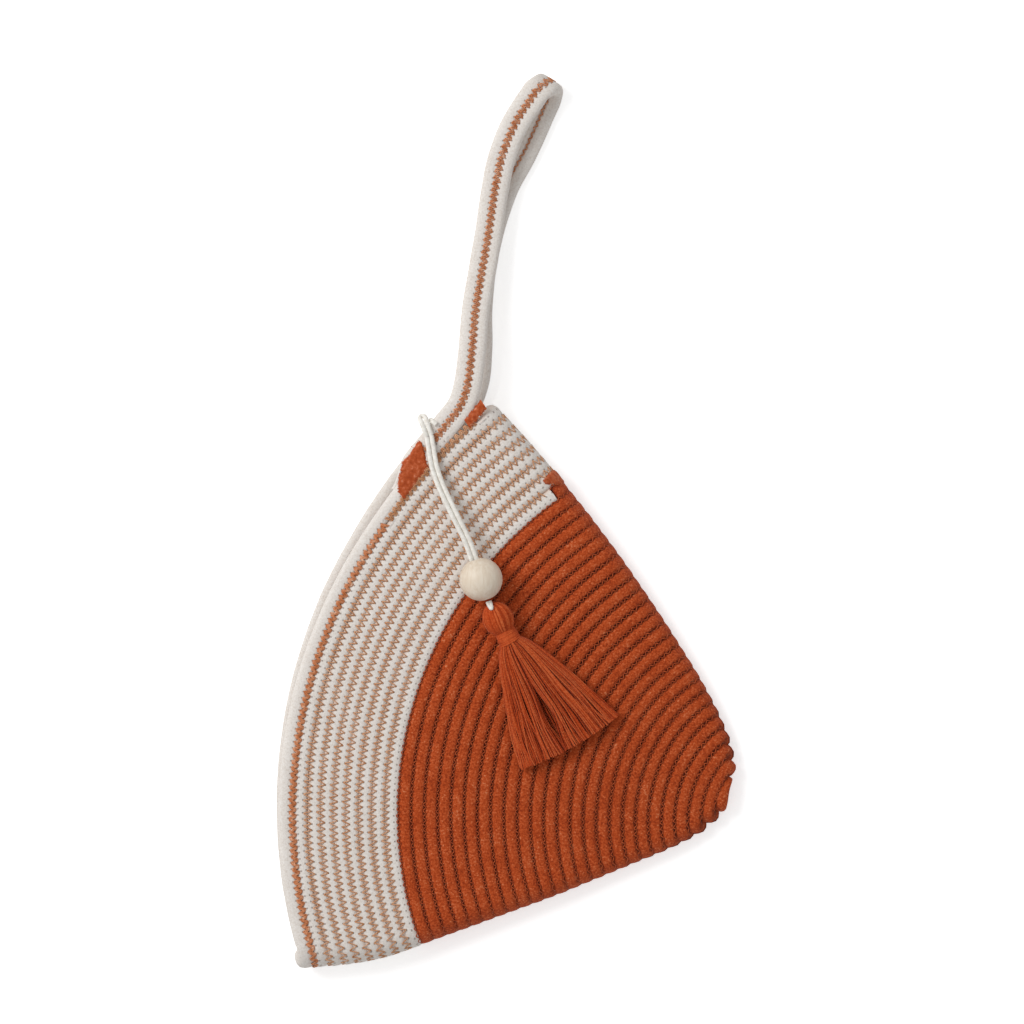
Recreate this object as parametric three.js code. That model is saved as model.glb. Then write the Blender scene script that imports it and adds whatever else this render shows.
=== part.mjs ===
// A wristlet clutch of coiled, zigzag-sewn cotton rope: a flattened cone lying on its back panel,
// with a two-rope wrist strap at the mouth and a cord charm with a wooden bead and a cotton tassel.
// Millimetres and degrees. +X and +Y span the table, +Z is the bag's thickness.
import * as THREE from "three";

// The rope and its coil
const ROPE_DIAMETER = 5.7; // across the rope, from row to row
const ROW_CLEARANCE = 0.36; // what the sewing leaves between two rows
const END_CLEARANCE = 0.3; // between two lengths of rope that meet end to end
const RUST_TURNS = 25; // whole turns of rust rope from the tip to the colour change
const WHITE_TURNS = 8; // whole turns of white rope from there to the strap
const START_STEPS = 2; // steps of the tip's first fold that the rust rope starts with
const SPLICE_BACK = 2; // how far before the front, in the side fold, the white rope takes over
const FRONT_STEPS = 8; // steps along a row on one panel
const FOLD_STEPS = 5; // steps round one side fold

// The flattened cone, in polar coordinates about the point where its side edges would meet
const TIP_RADIUS = 29.9; // from that point to the middle of the first row
const AXIS_ANGLE = 161.2; // the direction from the tip to the middle of the mouth
const STRAP_SIDE_ANGLE = 39.1; // from the axis to the side edge that carries the strap
const PLAIN_SIDE_ANGLE = 38.8; // from the axis to the other side edge
const STRAP_TIP_ROUNDING = 22; // how much less the first row spans on the strap's side
const PLAIN_TIP_ROUNDING = 16; // and on the other side
const TIP_ROUNDING_FADE = 8; // how fast the next rows reach the full angle
const STRAP_SIDE_DRAW_IN = 3.3; // how far the strap's side edge turns in towards the mouth
const STRAP_SIDE_DRAW_START = 100;
const STRAP_SIDE_DRAW_LENGTH = 128;
const PLAIN_SIDE_DRAW_IN = 2.4;
const PLAIN_SIDE_DRAW_START = 190;
const PLAIN_SIDE_DRAW_LENGTH = 45;
const SIDE_DRAW_POWER = 1.5; // over 1 lets a side edge start to turn in slowly
const TIP_SPACING = 6.1; // from the back rows' middle to the front rows' middle at the tip
const MOUTH_SPACING = 20; // the same at the middle of the mouth
const STEP_ROWS = 20; // rows from the tip in which the step on the back moves towards the strap's side
const BACK_SET = 0.2; // how far the back's rows lie further out than the front's, in rows
const CORNER_LIFT = 4.8; // how far the strap pulls the mouth's corner out of the round
const CORNER_LIFT_START = 150; // the angle where that begins
const CORNER_LIFT_ROWS = 8; // over how many rows it fades out

// The wrist strap: two ropes side by side, up its front leg, over the bend and down its back leg
const STRAP_BEND_RADIUS = 6; // of the ropes' middle line where the strap turns back
const STRAP_BEND_HEADING = 56; // the direction in which the bend points
const STRAP_BEND_SHIFT = 6.2; // how far the back leg is turned aside at the bend
const STRAP_BEND_AT = [-114.5, 332.8];
const FRONT_LEG = [[-155.8, 179], [-149.1, 188], [-146.2, 197.2], [-144.1, 213.4], [-142.6, 231.8],
  [-139.5, 250.2], [-136.4, 268.7], [-133.7, 287.1], [-130.1, 303.5], [-123.9, 318.5]];
const BACK_LEG = [[-112, 323.6], [-120.2, 305.5], [-128.8, 289.4], [-135.8, 268.7], [-139.6, 250.2],
  [-141.2, 231.8], [-141.3, 213.4], [-143, 197.8], [-147.6, 187.4]];
const FRONT_LEG_SAG = 8; // how far the front leg sinks towards the back leg midway
const ROOT_ANGLE = 138; // where the ropes of the strap leave the rows of the rim
const ROOT_RUN = 4; // the strap's line starts this many degrees before that
const LEG_STEPS = 26;
const BEND_STEPS = 6;
// Lengths along the strap's line
const TAIL_START = 6.5; // where the last rope ends, under the rim patch
const PATCH_START = 6;
const PATCH_LENGTH = 23;
const TIE_DISTANCE = 36.4; // to the place on the outer rope where the charm is tied
const HINGE_DISTANCE = 66; // to the line that the strap folds on
const HINGE_STRETCH = 16; // the length of rope that bends when the strap folds

// The stitched patches
const STITCH_THICKNESS = 1; // of a satin-stitched patch
const STITCH_CLEARANCE = 0.3; // between a patch and the rope under it
const PATCH_LIP = 3.2; // how far the rim patch reaches down over the outer rope's side
const BAR_LENGTH = 11.6;
const BAR_WIDTH = 4.4;
const BAR_CORNER = 1.5;
const BAR_AT = [-143.1, 184.3];
const BAR_HEADING = 53;

// The charm
const CORD_DIAMETER = 2;
const CORD_SIDES = 8;
const CORD_SPACING = 2.3; // between the middles of the two strands in the bead
const TIE_SPACING = 2.8; // between the middles of the two strands at the tie
const CORD_SWAY = 2.8; // how far the strands swing aside between the tie and the bead
const SWAY_POWER = 0.7; // under 1 puts the widest place nearer the tie
const TIE_BULGE = 0.5; // how much wider than that the tie's loop is, on each side
const TIE_REACH = 9.9; // how far the tie's loop stands out past the middle of the rope
const TIE_DROP = 3.2; // how far the loop's end lies under the middle of the rope
// The loop's line over the rope, as shares of its reach and of its rise, and on under it, of its drop
const TIE_OVER = [[0, 1], [0.5, 0.95], [0.9, 0.5]];
const TIE_UNDER = [[1, 0.1], [0.87, 0.75], [0.66, 1]];
const TIE_END_PINCH = 0.7; // how much of its width the loop keeps at its end
const TIE_CLEARANCE = 0.3; // between the tie and the rope under it
const TIE_GAP = 2; // between the tie and the strands, so that they can swing
const CHARM_HEADING = -70.8; // the direction in which the cord lies on the panel
const CORD_LENGTH = 69.8; // from the middle of the outer rope to the middle of the bead
const BEAD_TRAVEL = 20; // how far the bead can be pushed along the cord
const BEAD_DIAMETER = 19.8;
const BEAD_BORE = 5;
const REST_CLEARANCE = 0.35; // between the charm and the panel that it lies on
const TASSEL_TURN = 9.6; // the tassel lies turned this much from the cord
const LINK_GAP = 0.6; // between the bead's cord and the loop that carries the tassel
const HEAD_CLEARANCE = 0.3; // between that loop and the tassel's head
const HEAD_LENGTH = 13;
const HEAD_DIAMETER = 14.4;
const NECK_DIAMETER = 8.8;
const BINDING_LENGTH = 8;
const BINDING_WALL = 1;
const BINDING_CLEARANCE = 0.3; // between the binding and the yarn in it
const SKIRT_LENGTH = 53;
const SKIRT_WIDTH = 50;
const SKIRT_THICKNESS = 7;
const SKIRT_FLARE = 0.9; // how the skirt widens: 1 is straight, and less stays slim near the neck
const TIE_STEPS = 32;
const STRAND_STEPS = 24;
const RISE_POINTS = 6;
const LOOP_POINTS = 6;
const LOOP_STEPS = 8;
const ROUND_STEPS = 30; // sides of the bead and the tassel
const BEAD_RINGS = 16;
const HEAD_RINGS = 12;
const SKIRT_RINGS = 9;

// Colours and finishes
const RUST_COTTON = 0xa9471f;
const WHITE_COTTON = 0xd9d6d0;
const RUST_THREAD = 0xb23f12;
const PALE_WOOD = 0xdccbb4;

const degrees = THREE.MathUtils.degToRad;
const UP = new THREE.Vector3(0, 0, 1);
const DOWN = new THREE.Vector3(0, 0, -1);
const ROW_PITCH = ROPE_DIAMETER + ROW_CLEARANCE;
const ROPE_HALF_HEIGHT = ROPE_DIAMETER / 2 * Math.cos(Math.PI / 6);
const BACK_LEVEL = ROPE_HALF_HEIGHT;
const LAST_ROW = RUST_TURNS + WHITE_TURNS;
const MOUTH_RADIUS = TIP_RADIUS + LAST_ROW * ROW_PITCH;
const AXIS = new THREE.Vector3(Math.cos(degrees(AXIS_ANGLE)), Math.sin(degrees(AXIS_ANGLE)), 0);
const PANEL_SLOPE = (MOUTH_SPACING - TIP_SPACING) / (MOUTH_RADIUS - TIP_RADIUS);
const PANEL_NORMAL = UP.clone().addScaledVector(AXIS, -PANEL_SLOPE).normalize();

function fabric(name, color, roughness) {
  const material = new THREE.MeshStandardMaterial({ color, roughness, metalness: 0 });
  material.name = name;
  return material;
}
const rustRopeFinish = fabric("rust cotton rope", RUST_COTTON, 0.9);
const whiteRopeFinish = fabric("natural cotton rope", WHITE_COTTON, 0.9);
const threadFinish = fabric("rust sewing thread", RUST_THREAD, 0.6);
const cordFinish = fabric("natural cotton cord", WHITE_COTTON, 0.85);
const yarnFinish = fabric("rust tassel yarn", RUST_COTTON, 0.8);
const woodFinish = fabric("pale beech", PALE_WOOD, 0.5);

function easeInOut(share) {
  return THREE.MathUtils.smoothstep(share, 0, 1);
}

function turnedIn(radius, start, length) {
  return (Math.max(0, radius - start) / length) ** SIDE_DRAW_POWER;
}

// The front panel is flat and leans on the back one at the tip, so its height comes from its place.
function frontLevel(x, y) {
  const along = x * AXIS.x + y * AXIS.y;
  return BACK_LEVEL + TIP_SPACING + PANEL_SLOPE * (along - TIP_RADIUS);
}

function rowRadius(row) {
  return TIP_RADIUS + row * ROW_PITCH;
}

// The strap pulls the corner of the mouth outwards, the rim most and the first white row not at all.
function cornerLift(row, angle) {
  const rows = THREE.MathUtils.clamp((row - LAST_ROW + CORNER_LIFT_ROWS) / CORNER_LIFT_ROWS, 0, 1);
  const span = CORNER_LIFT_START - sideAngle("strap", MOUTH_RADIUS);
  const turn = Math.max(0, CORNER_LIFT_START - angle) / span;
  return CORNER_LIFT * rows * turn * turn;
}

// The angle at which the outline of a row ends, on the side of the strap or on the plain side.
function sideAngle(side, radius) {
  const fade = Math.exp((TIP_RADIUS - radius) / TIP_ROUNDING_FADE);
  if (side === "strap") {
    const drawn = turnedIn(radius, STRAP_SIDE_DRAW_START, STRAP_SIDE_DRAW_LENGTH);
    return AXIS_ANGLE - STRAP_SIDE_ANGLE + STRAP_TIP_ROUNDING * fade + STRAP_SIDE_DRAW_IN * drawn;
  }
  const drawn = turnedIn(radius, PLAIN_SIDE_DRAW_START, PLAIN_SIDE_DRAW_LENGTH);
  return AXIS_ANGLE + PLAIN_SIDE_ANGLE - PLAIN_TIP_ROUNDING * fade - PLAIN_SIDE_DRAW_IN * drawn;
}

// A place on a panel, by its row and angle.
function panelPoint(row, angle, panel) {
  const radius = rowRadius(row) + cornerLift(row, angle);
  const x = radius * Math.cos(degrees(angle));
  const y = radius * Math.sin(degrees(angle));
  return new THREE.Vector3(x, y, panel === "front" ? frontLevel(x, y) : BACK_LEVEL);
}

// Where the fold of a row starts: its round turn and half a rope lie between there and the outline.
function foldAt(row, side) {
  const radius = rowRadius(row);
  const edge = sideAngle(side, radius);
  const outline = panelPoint(row, edge, "front");
  const half = (outline.z - BACK_LEVEL) / 2;
  const inward = side === "strap" ? 1 : -1;
  return { angle: edge + inward * THREE.MathUtils.radToDeg((half + ROPE_DIAMETER / 2) / radius), half };
}

// On the back the rope steps out by one row, so that it meets the front again beside itself: evenly
// at the tip, and mostly near the strap's side further out.
function stepOut(row, angle) {
  const start = foldAt(row, "plain").angle;
  const share = (start - angle) / (start - foldAt(row + 1, "strap").angle);
  return share ** (1 + Math.min(row / STEP_ROWS, 1));
}

// Stations of the rope: the point on its middle line and the direction that faces out of the bag.
function panelRun(row, fromAngle, toAngle, panel) {
  const out = panel === "front" ? PANEL_NORMAL : DOWN;
  const run = [];
  for (let step = 0; step <= FRONT_STEPS; step++) {
    const angle = THREE.MathUtils.lerp(fromAngle, toAngle, step / FRONT_STEPS);
    const steppedRow = panel === "front" ? row : row + BACK_SET + stepOut(row, angle);
    run.push({ point: panelPoint(steppedRow, angle, panel), out });
  }
  return run;
}

function foldRun(row, side) {
  const fold = foldAt(row, side);
  const front = panelPoint(row, fold.angle, "front");
  const half = (front.z - BACK_LEVEL) / 2;
  const outward = side === "strap" ? -1 : 1;
  const radial = degrees(fold.angle);
  const sideways = new THREE.Vector3(-Math.sin(radial), Math.cos(radial), 0).multiplyScalar(outward);
  const run = [];
  for (let step = 1; step < FOLD_STEPS; step++) {
    const turn = Math.PI * step / FOLD_STEPS;
    const out = sideways.clone().multiplyScalar(Math.sin(turn)).addScaledVector(UP, Math.cos(turn));
    const point = new THREE.Vector3(front.x, front.y, BACK_LEVEL + half).addScaledVector(out, half);
    run.push({ point, out });
  }
  return side === "strap" ? run.reverse() : run;
}

function frontRow(row) {
  return panelRun(row, foldAt(row, "strap").angle, foldAt(row, "plain").angle, "front");
}

function backRow(row, endAngle) {
  return panelRun(row, foldAt(row, "plain").angle, endAngle, "back");
}

function wholeTurn(row) {
  return [...frontRow(row), ...foldRun(row, "plain"),
    ...backRow(row, foldAt(row + 1, "strap").angle), ...foldRun(row + 1, "strap")];
}

// A rope's middle line with its own stations, so that rows keep their facets side by side.
class RopeLine extends THREE.Curve {
  constructor(stations) {
    super();
    this.stations = stations;
  }

  getSpacedPoints() {
    return this.stations.map((station) => station.point);
  }

  computeFrenetFrames() {
    const frames = { tangents: [], normals: [], binormals: [] };
    this.stations.forEach((station, index) => {
      const before = this.stations[Math.max(index - 1, 0)].point;
      const after = this.stations[Math.min(index + 1, this.stations.length - 1)].point;
      const tangent = after.clone().sub(before).normalize();
      const binormal = tangent.clone().cross(station.out).normalize();
      frames.tangents.push(tangent);
      frames.binormals.push(binormal);
      frames.normals.push(binormal.clone().cross(tangent).normalize());
    });
    return frames;
  }
}

function roundSection(diameter, sides) {
  const corners = [];
  for (let corner = 0; corner < sides; corner++) {
    const angle = 2 * Math.PI * (corner + 0.5) / sides;
    corners.push(new THREE.Vector2(Math.cos(angle), Math.sin(angle)).multiplyScalar(diameter / 2));
  }
  return new THREE.Shape(corners);
}

function sweep(stations, section) {
  return new THREE.ExtrudeGeometry(section,
    { steps: stations.length - 1, bevelEnabled: false, extrudePath: new RopeLine(stations) });
}

function mesh(name, geometry, material) {
  const made = new THREE.Mesh(geometry, material);
  made.name = name;
  return made;
}

// Cuts a run of stations to the stretch between two lengths along it.
function stretch(stations, from, to) {
  const kept = [];
  let length = 0;
  for (let index = 1; index < stations.length; index++) {
    const a = stations[index - 1];
    const b = stations[index];
    const step = a.point.distanceTo(b.point);
    for (const cut of [from, to]) {
      if (cut >= length && cut < length + step) {
        const share = (cut - length) / step;
        const out = a.out.clone().lerp(b.out, share).normalize();
        kept.push({ point: a.point.clone().lerp(b.point, share), out });
      }
    }
    length += step;
    if (length > from && length < to) kept.push(b);
  }
  return kept;
}

function runLength(stations) {
  let length = 0;
  for (let index = 1; index < stations.length; index++) {
    length += stations[index].point.distanceTo(stations[index - 1].point);
  }
  return length;
}

// The strap's middle line is the seam between its ropes, with the direction from the left rope to
// the right one.
function legRun(points, panel, reversed) {
  const root = [ROOT_ANGLE + ROOT_RUN, ROOT_ANGLE].map((angle) => {
    const backSeam = LAST_ROW - 0.5 + BACK_SET + stepOut(LAST_ROW, angle);
    return panelPoint(panel === "front" ? LAST_ROW + 0.5 : backSeam, angle, panel);
  });
  const flat = points.map(([x, y]) => new THREE.Vector3(x, y, 0));
  const bend = new THREE.Vector3(STRAP_BEND_AT[0], STRAP_BEND_AT[1], 0);
  const heading = headingVector(STRAP_BEND_HEADING);
  if (reversed) bend.addScaledVector(acrossOf(heading), STRAP_BEND_SHIFT);
  if (reversed) flat.reverse();
  const plan = [...root.map((point) => point.clone().setZ(0)), ...flat, bend];
  const curve = new THREE.CatmullRomCurve3(plan, false, "centripetal");
  const whole = curve.getLength();
  const run = [];
  for (let step = 0; step <= LEG_STEPS; step++) {
    const share = step / LEG_STEPS;
    const point = curve.getPointAt(share);
    point.z = panel === "back" ? BACK_LEVEL : frontLegLevel(point, share * whole, whole);
    const along = step === LEG_STEPS ? heading : curve.getTangentAt(share).setZ(0).normalize();
    run.push({ point, across: acrossOf(along), out: panel === "back" ? DOWN : UP });
  }
  return run;
}

// The front leg keeps to the panel's plane up to the fold line and then closes in on the back leg.
function frontLegLevel(point, length, whole) {
  const share = THREE.MathUtils.clamp((length - HINGE_DISTANCE) / (whole - HINGE_DISTANCE), 0, 1);
  const top = BACK_LEVEL + 2 * STRAP_BEND_RADIUS;
  const straight = THREE.MathUtils.lerp(frontLevel(point.x, point.y), top, easeInOut(share));
  return straight - FRONT_LEG_SAG * Math.sin(Math.PI * share) ** 2;
}

function headingVector(heading) {
  return new THREE.Vector3(Math.cos(degrees(heading)), Math.sin(degrees(heading)), 0);
}

function acrossOf(along) {
  return new THREE.Vector3(along.y, -along.x, 0);
}

function strapBend() {
  const along = headingVector(STRAP_BEND_HEADING);
  const across = acrossOf(along);
  const run = [];
  for (let step = 1; step < BEND_STEPS; step++) {
    const turn = Math.PI * step / BEND_STEPS;
    const out = along.clone().multiplyScalar(Math.sin(turn)).addScaledVector(UP, Math.cos(turn));
    const point = new THREE.Vector3(STRAP_BEND_AT[0], STRAP_BEND_AT[1], BACK_LEVEL + STRAP_BEND_RADIUS)
      .addScaledVector(out, STRAP_BEND_RADIUS)
      .addScaledVector(across, STRAP_BEND_SHIFT * step / BEND_STEPS);
    run.push({ point, across, out });
  }
  return run;
}

function besideSeam(run, side) {
  return run.map(({ point, across, out }) =>
    ({ point: point.clone().addScaledVector(across, side * ROW_PITCH / 2), out }));
}

// The strap's two ropes, each in five lengths: a root and a bending length at the front and at the
// back, fixed to the bag and bending with the strap, and the free length between them.
function strapRopes(side) {
  const front = besideSeam(legRun(FRONT_LEG, "front", false), side);
  const back = besideSeam(legRun(BACK_LEG, "back", true), side);
  const bend = besideSeam(strapBend(), side);
  const half = END_CLEARANCE / 2;
  const rootStart = side > 0 ? 0 : TAIL_START;
  const freeStart = HINGE_DISTANCE + HINGE_STRETCH;
  return {
    frontRoot: stretch(front, rootStart, HINGE_DISTANCE - half),
    frontBend: stretch(front, HINGE_DISTANCE + half, freeStart - half),
    free: [...stretch(front, freeStart + half, runLength(front)), ...bend,
      ...stretch(back, freeStart + half, runLength(back)).reverse()],
    backBend: stretch(back, HINGE_DISTANCE + half, freeStart - half),
    backRoot: stretch(back, 0, HINGE_DISTANCE - half),
  };
}

const ropeSection = roundSection(ROPE_DIAMETER, 6);
const innerRope = strapRopes(1);
const outerRope = strapRopes(-1);

function rustRope() {
  const stations = foldRun(0, "strap").slice(-START_STEPS);
  for (let row = 0; row < RUST_TURNS; row++) stations.push(...wholeTurn(row));
  stations.push(frontRow(RUST_TURNS)[0]);
  const end = runLength(stations) - SPLICE_BACK - END_CLEARANCE / 2;
  return mesh("rust_rope", sweep(stretch(stations, 0, end), ropeSection), rustRopeFinish);
}

// The white rope starts where the rust one ends, on the last step of the fold at the strap's side.
function whiteRope() {
  const splice = [foldRun(RUST_TURNS, "strap").at(-1), frontRow(RUST_TURNS)[0]];
  const start = runLength(splice) - SPLICE_BACK + END_CLEARANCE / 2;
  const stations = stretch([splice[0], ...wholeTurn(RUST_TURNS)], start, Infinity);
  for (let row = RUST_TURNS + 1; row < LAST_ROW - 1; row++) stations.push(...wholeTurn(row));
  const last = LAST_ROW - 1;
  stations.push(...frontRow(last), ...foldRun(last, "plain"), ...backRow(last, ROOT_ANGLE + 6));
  stations.push(...innerRope.backRoot);
  return mesh("white_rope", sweep(stations, ropeSection), whiteRopeFinish);
}

// The last row of the mouth runs from the strap's front root round to its back root.
function rimRope() {
  const start = ROOT_ANGLE + 6;
  const front = panelRun(LAST_ROW, start, foldAt(LAST_ROW, "plain").angle, "front");
  const stations = [...innerRope.frontRoot.slice().reverse(), ...front, ...foldRun(LAST_ROW, "plain"),
    ...backRow(LAST_ROW, ROOT_ANGLE + 6), ...outerRope.backRoot];
  return mesh("rim_rope", sweep(stations, ropeSection), whiteRopeFinish);
}

// Satin stitches over the last rope's end and the rim beside it, turned down over the outer rope.
function rimPatch() {
  const seam = legRun(FRONT_LEG, "front", false);
  const low = ROPE_HALF_HEIGHT + STITCH_CLEARANCE;
  const high = low + STITCH_THICKNESS;
  const inner = ROW_PITCH / 2 + ROPE_DIAMETER / 2;
  const outer = -inner - STITCH_CLEARANCE;
  const corners = [[low, inner], [high, inner], [high, outer - STITCH_THICKNESS],
    [low - PATCH_LIP, outer - STITCH_THICKNESS], [low - PATCH_LIP, outer], [low, outer]];
  const section = new THREE.Shape(corners.map(([rise, across]) => new THREE.Vector2(rise, across)));
  const stations = stretch(seam, PATCH_START, PATCH_START + PATCH_LENGTH);
  return mesh("rim_patch", sweep(stations, section), threadFinish);
}

// The bar tack that holds the strap's inner rope and the row beside it together.
function strapBar() {
  const half = new THREE.Vector2(BAR_LENGTH / 2, BAR_WIDTH / 2);
  const outline = new THREE.Shape();
  outline.absarc(half.x - BAR_CORNER, -half.y + BAR_CORNER, BAR_CORNER, -Math.PI / 2, 0);
  outline.absarc(half.x - BAR_CORNER, half.y - BAR_CORNER, BAR_CORNER, 0, Math.PI / 2);
  outline.absarc(-half.x + BAR_CORNER, half.y - BAR_CORNER, BAR_CORNER, Math.PI / 2, Math.PI);
  outline.absarc(-half.x + BAR_CORNER, -half.y + BAR_CORNER, BAR_CORNER, Math.PI, 1.5 * Math.PI);
  const geometry = new THREE.ExtrudeGeometry(outline,
    { depth: STITCH_THICKNESS, bevelEnabled: false, curveSegments: 4 });
  const bar = mesh("strap_bar", geometry, threadFinish);
  bar.position.set(BAR_AT[0], BAR_AT[1], frontLevel(...BAR_AT));
  bar.quaternion.copy(onPanel(BAR_HEADING));
  bar.translateZ(ROPE_HALF_HEIGHT + STITCH_CLEARANCE);
  return bar;
}

// Turns X to a heading on the front panel and Z to the panel's normal.
function onPanel(heading) {
  const along = headingVector(heading).projectOnPlane(PANEL_NORMAL).normalize();
  const across = PANEL_NORMAL.clone().cross(along);
  return new THREE.Quaternion().setFromRotationMatrix(
    new THREE.Matrix4().makeBasis(along, across, PANEL_NORMAL));
}

// The charm's own frame starts at the middle of the outer rope, with X along the cord and Z away
// from the panel.
const BEAD_LEVEL = ROPE_HALF_HEIGHT + REST_CLEARANCE + BEAD_DIAMETER / 2;
const TIE_LEVEL = ROPE_DIAMETER / 2 + TIE_CLEARANCE + CORD_DIAMETER / 2;
const LINK_AT = CORD_LENGTH + BEAD_DIAMETER / 2 + LINK_GAP / 2;
const HEAD_AT = LINK_GAP + (CORD_SPACING + CORD_DIAMETER) / 2 + HEAD_CLEARANCE;
const cordSection = roundSection(CORD_DIAMETER, CORD_SIDES);

function cordAlong(points, steps) {
  const curve = new THREE.CatmullRomCurve3(points, false, "centripetal");
  return new THREE.ExtrudeGeometry(cordSection, { steps, bevelEnabled: false, extrudePath: curve });
}

// The doubled end of the cord, hooked over the outer rope from the side of the panel.
function cordTie() {
  const wide = TIE_SPACING / 2 + TIE_BULGE;
  const place = (reach, level) => new THREE.Vector3(-reach * TIE_REACH, wide, level);
  const over = TIE_OVER.map(([reach, rise]) => place(reach, rise * TIE_LEVEL));
  const under = TIE_UNDER.map(([reach, drop]) => place(reach, -drop * TIE_DROP));
  const half = [...over, ...under];
  half[0].y = TIE_SPACING / 2;
  half[half.length - 1].y = TIE_SPACING / 2 * TIE_END_PINCH;
  const other = half.map(({ x, y, z }) => new THREE.Vector3(x, -y, z)).reverse();
  return mesh("cord_tie", cordAlong([...half, ...other], TIE_STEPS), cordFinish);
}

// From the tie a strand rises to the bead's bore, and runs level where the bead can be pushed.
function cordStrand(name, side) {
  const levelFrom = CORD_LENGTH - BEAD_DIAMETER / 2 - BEAD_TRAVEL;
  const end = LINK_AT - LINK_GAP;
  const points = [];
  for (let step = 0; step <= RISE_POINTS; step++) {
    const share = step / RISE_POINTS;
    const spread = THREE.MathUtils.lerp(TIE_SPACING, CORD_SPACING, easeInOut(share)) / 2;
    const sway = CORD_SWAY * Math.sin(Math.PI * share ** SWAY_POWER);
    points.push(new THREE.Vector3(THREE.MathUtils.lerp(TIE_GAP, levelFrom, share), side * spread - sway,
      THREE.MathUtils.lerp(TIE_LEVEL, BEAD_LEVEL, share)));
  }
  for (const x of [(levelFrom + end) / 2, end]) {
    points.push(new THREE.Vector3(x, side * CORD_SPACING / 2, BEAD_LEVEL));
  }
  return mesh(name, cordAlong(points, STRAND_STEPS), cordFinish);
}

function bead() {
  const radius = BEAD_DIAMETER / 2;
  const mouth = Math.asin(BEAD_BORE / 2 / radius);
  const profile = [];
  for (let step = 0; step <= BEAD_RINGS; step++) {
    const angle = THREE.MathUtils.lerp(mouth, Math.PI - mouth, step / BEAD_RINGS);
    profile.push(new THREE.Vector2(radius * Math.sin(angle), -radius * Math.cos(angle)));
  }
  profile.push(profile[0].clone());
  const turned = new THREE.LatheGeometry(profile, ROUND_STEPS).rotateZ(-Math.PI / 2);
  const made = mesh("bead", turned, woodFinish);
  made.position.set(CORD_LENGTH, 0, BEAD_LEVEL);
  return made;
}

// The bight of the cord that the tassel hangs on.
function tasselLoop() {
  const points = [];
  for (let step = 0; step <= LOOP_POINTS; step++) {
    const turn = Math.PI * step / LOOP_POINTS;
    points.push(new THREE.Vector3(Math.sin(turn), Math.cos(turn), 0).multiplyScalar(CORD_SPACING / 2));
  }
  const made = mesh("tassel_loop", cordAlong(points, LOOP_STEPS), cordFinish);
  made.position.set(LINK_AT + LINK_GAP, 0, BEAD_LEVEL);
  return made;
}

// The tassel, along X from where its head starts: a round head, a bound neck and a flat fanned skirt.
function tasselProfile() {
  const head = HEAD_DIAMETER / 2;
  const neck = NECK_DIAMETER / 2;
  const neckShare = Math.sqrt(1 - (neck / head) ** 2);
  const semi = HEAD_LENGTH / (1 + neckShare);
  const profile = [];
  const endAngle = Math.PI - Math.asin(neck / head);
  for (let step = 0; step <= HEAD_RINGS; step++) {
    const angle = endAngle * step / HEAD_RINGS;
    profile.push(new THREE.Vector2(head * Math.sin(angle), semi * (1 - Math.cos(angle))));
  }
  const skirtStart = HEAD_LENGTH + BINDING_LENGTH + 2 * BINDING_CLEARANCE;
  for (let step = 0; step <= SKIRT_RINGS; step++) {
    const share = step / SKIRT_RINGS;
    const width = THREE.MathUtils.lerp(neck, SKIRT_WIDTH / 2, share ** (1 / SKIRT_FLARE));
    profile.push(new THREE.Vector2(width, skirtStart + SKIRT_LENGTH * share));
  }
  profile[0].x = 0;
  profile.push(new THREE.Vector2(0, skirtStart + SKIRT_LENGTH));
  return { profile, skirtStart };
}

function tasselYarn() {
  const { profile, skirtStart } = tasselProfile();
  const geometry = new THREE.LatheGeometry(profile, ROUND_STEPS).rotateZ(-Math.PI / 2);
  const places = geometry.getAttribute("position");
  for (let index = 0; index < places.count; index++) {
    const share = THREE.MathUtils.clamp((places.getX(index) - skirtStart) / SKIRT_LENGTH, 0, 1);
    const width = THREE.MathUtils.lerp(NECK_DIAMETER, SKIRT_WIDTH, share ** (1 / SKIRT_FLARE));
    const thickness = THREE.MathUtils.lerp(NECK_DIAMETER, SKIRT_THICKNESS, share);
    places.setZ(index, places.getZ(index) * thickness / width);
  }
  return mesh("tassel_yarn", geometry, yarnFinish);
}

function tasselBinding() {
  const inner = NECK_DIAMETER / 2 + BINDING_CLEARANCE;
  const start = HEAD_LENGTH + BINDING_CLEARANCE;
  const corners = [[inner, 0], [inner + BINDING_WALL, 0], [inner + BINDING_WALL, BINDING_LENGTH],
    [inner, BINDING_LENGTH], [inner, 0]];
  const profile = corners.map(([radius, along]) => new THREE.Vector2(radius, start + along));
  const geometry = new THREE.LatheGeometry(profile, ROUND_STEPS).rotateZ(-Math.PI / 2);
  return mesh("tassel_binding", geometry, yarnFinish);
}

// The tassel leans, so that both its head and its hem lie on the panel.
function tassel() {
  const made = new THREE.Group();
  const headRest = ROPE_HALF_HEIGHT + REST_CLEARANCE + HEAD_DIAMETER / 2;
  const hemRest = ROPE_HALF_HEIGHT + REST_CLEARANCE + SKIRT_THICKNESS / 2;
  const reach = HEAD_LENGTH / 2 + BINDING_LENGTH + SKIRT_LENGTH;
  const lean = Math.asin((headRest - hemRest) / reach);
  made.position.set(LINK_AT, 0, 0);
  made.rotation.z = degrees(TASSEL_TURN);
  const leaning = new THREE.Group();
  leaning.position.set(HEAD_AT, 0, headRest + HEAD_LENGTH / 2 * Math.sin(lean));
  leaning.rotation.y = lean;
  leaning.add(tasselYarn(), tasselBinding());
  made.add(leaning);
  return made;
}

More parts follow.
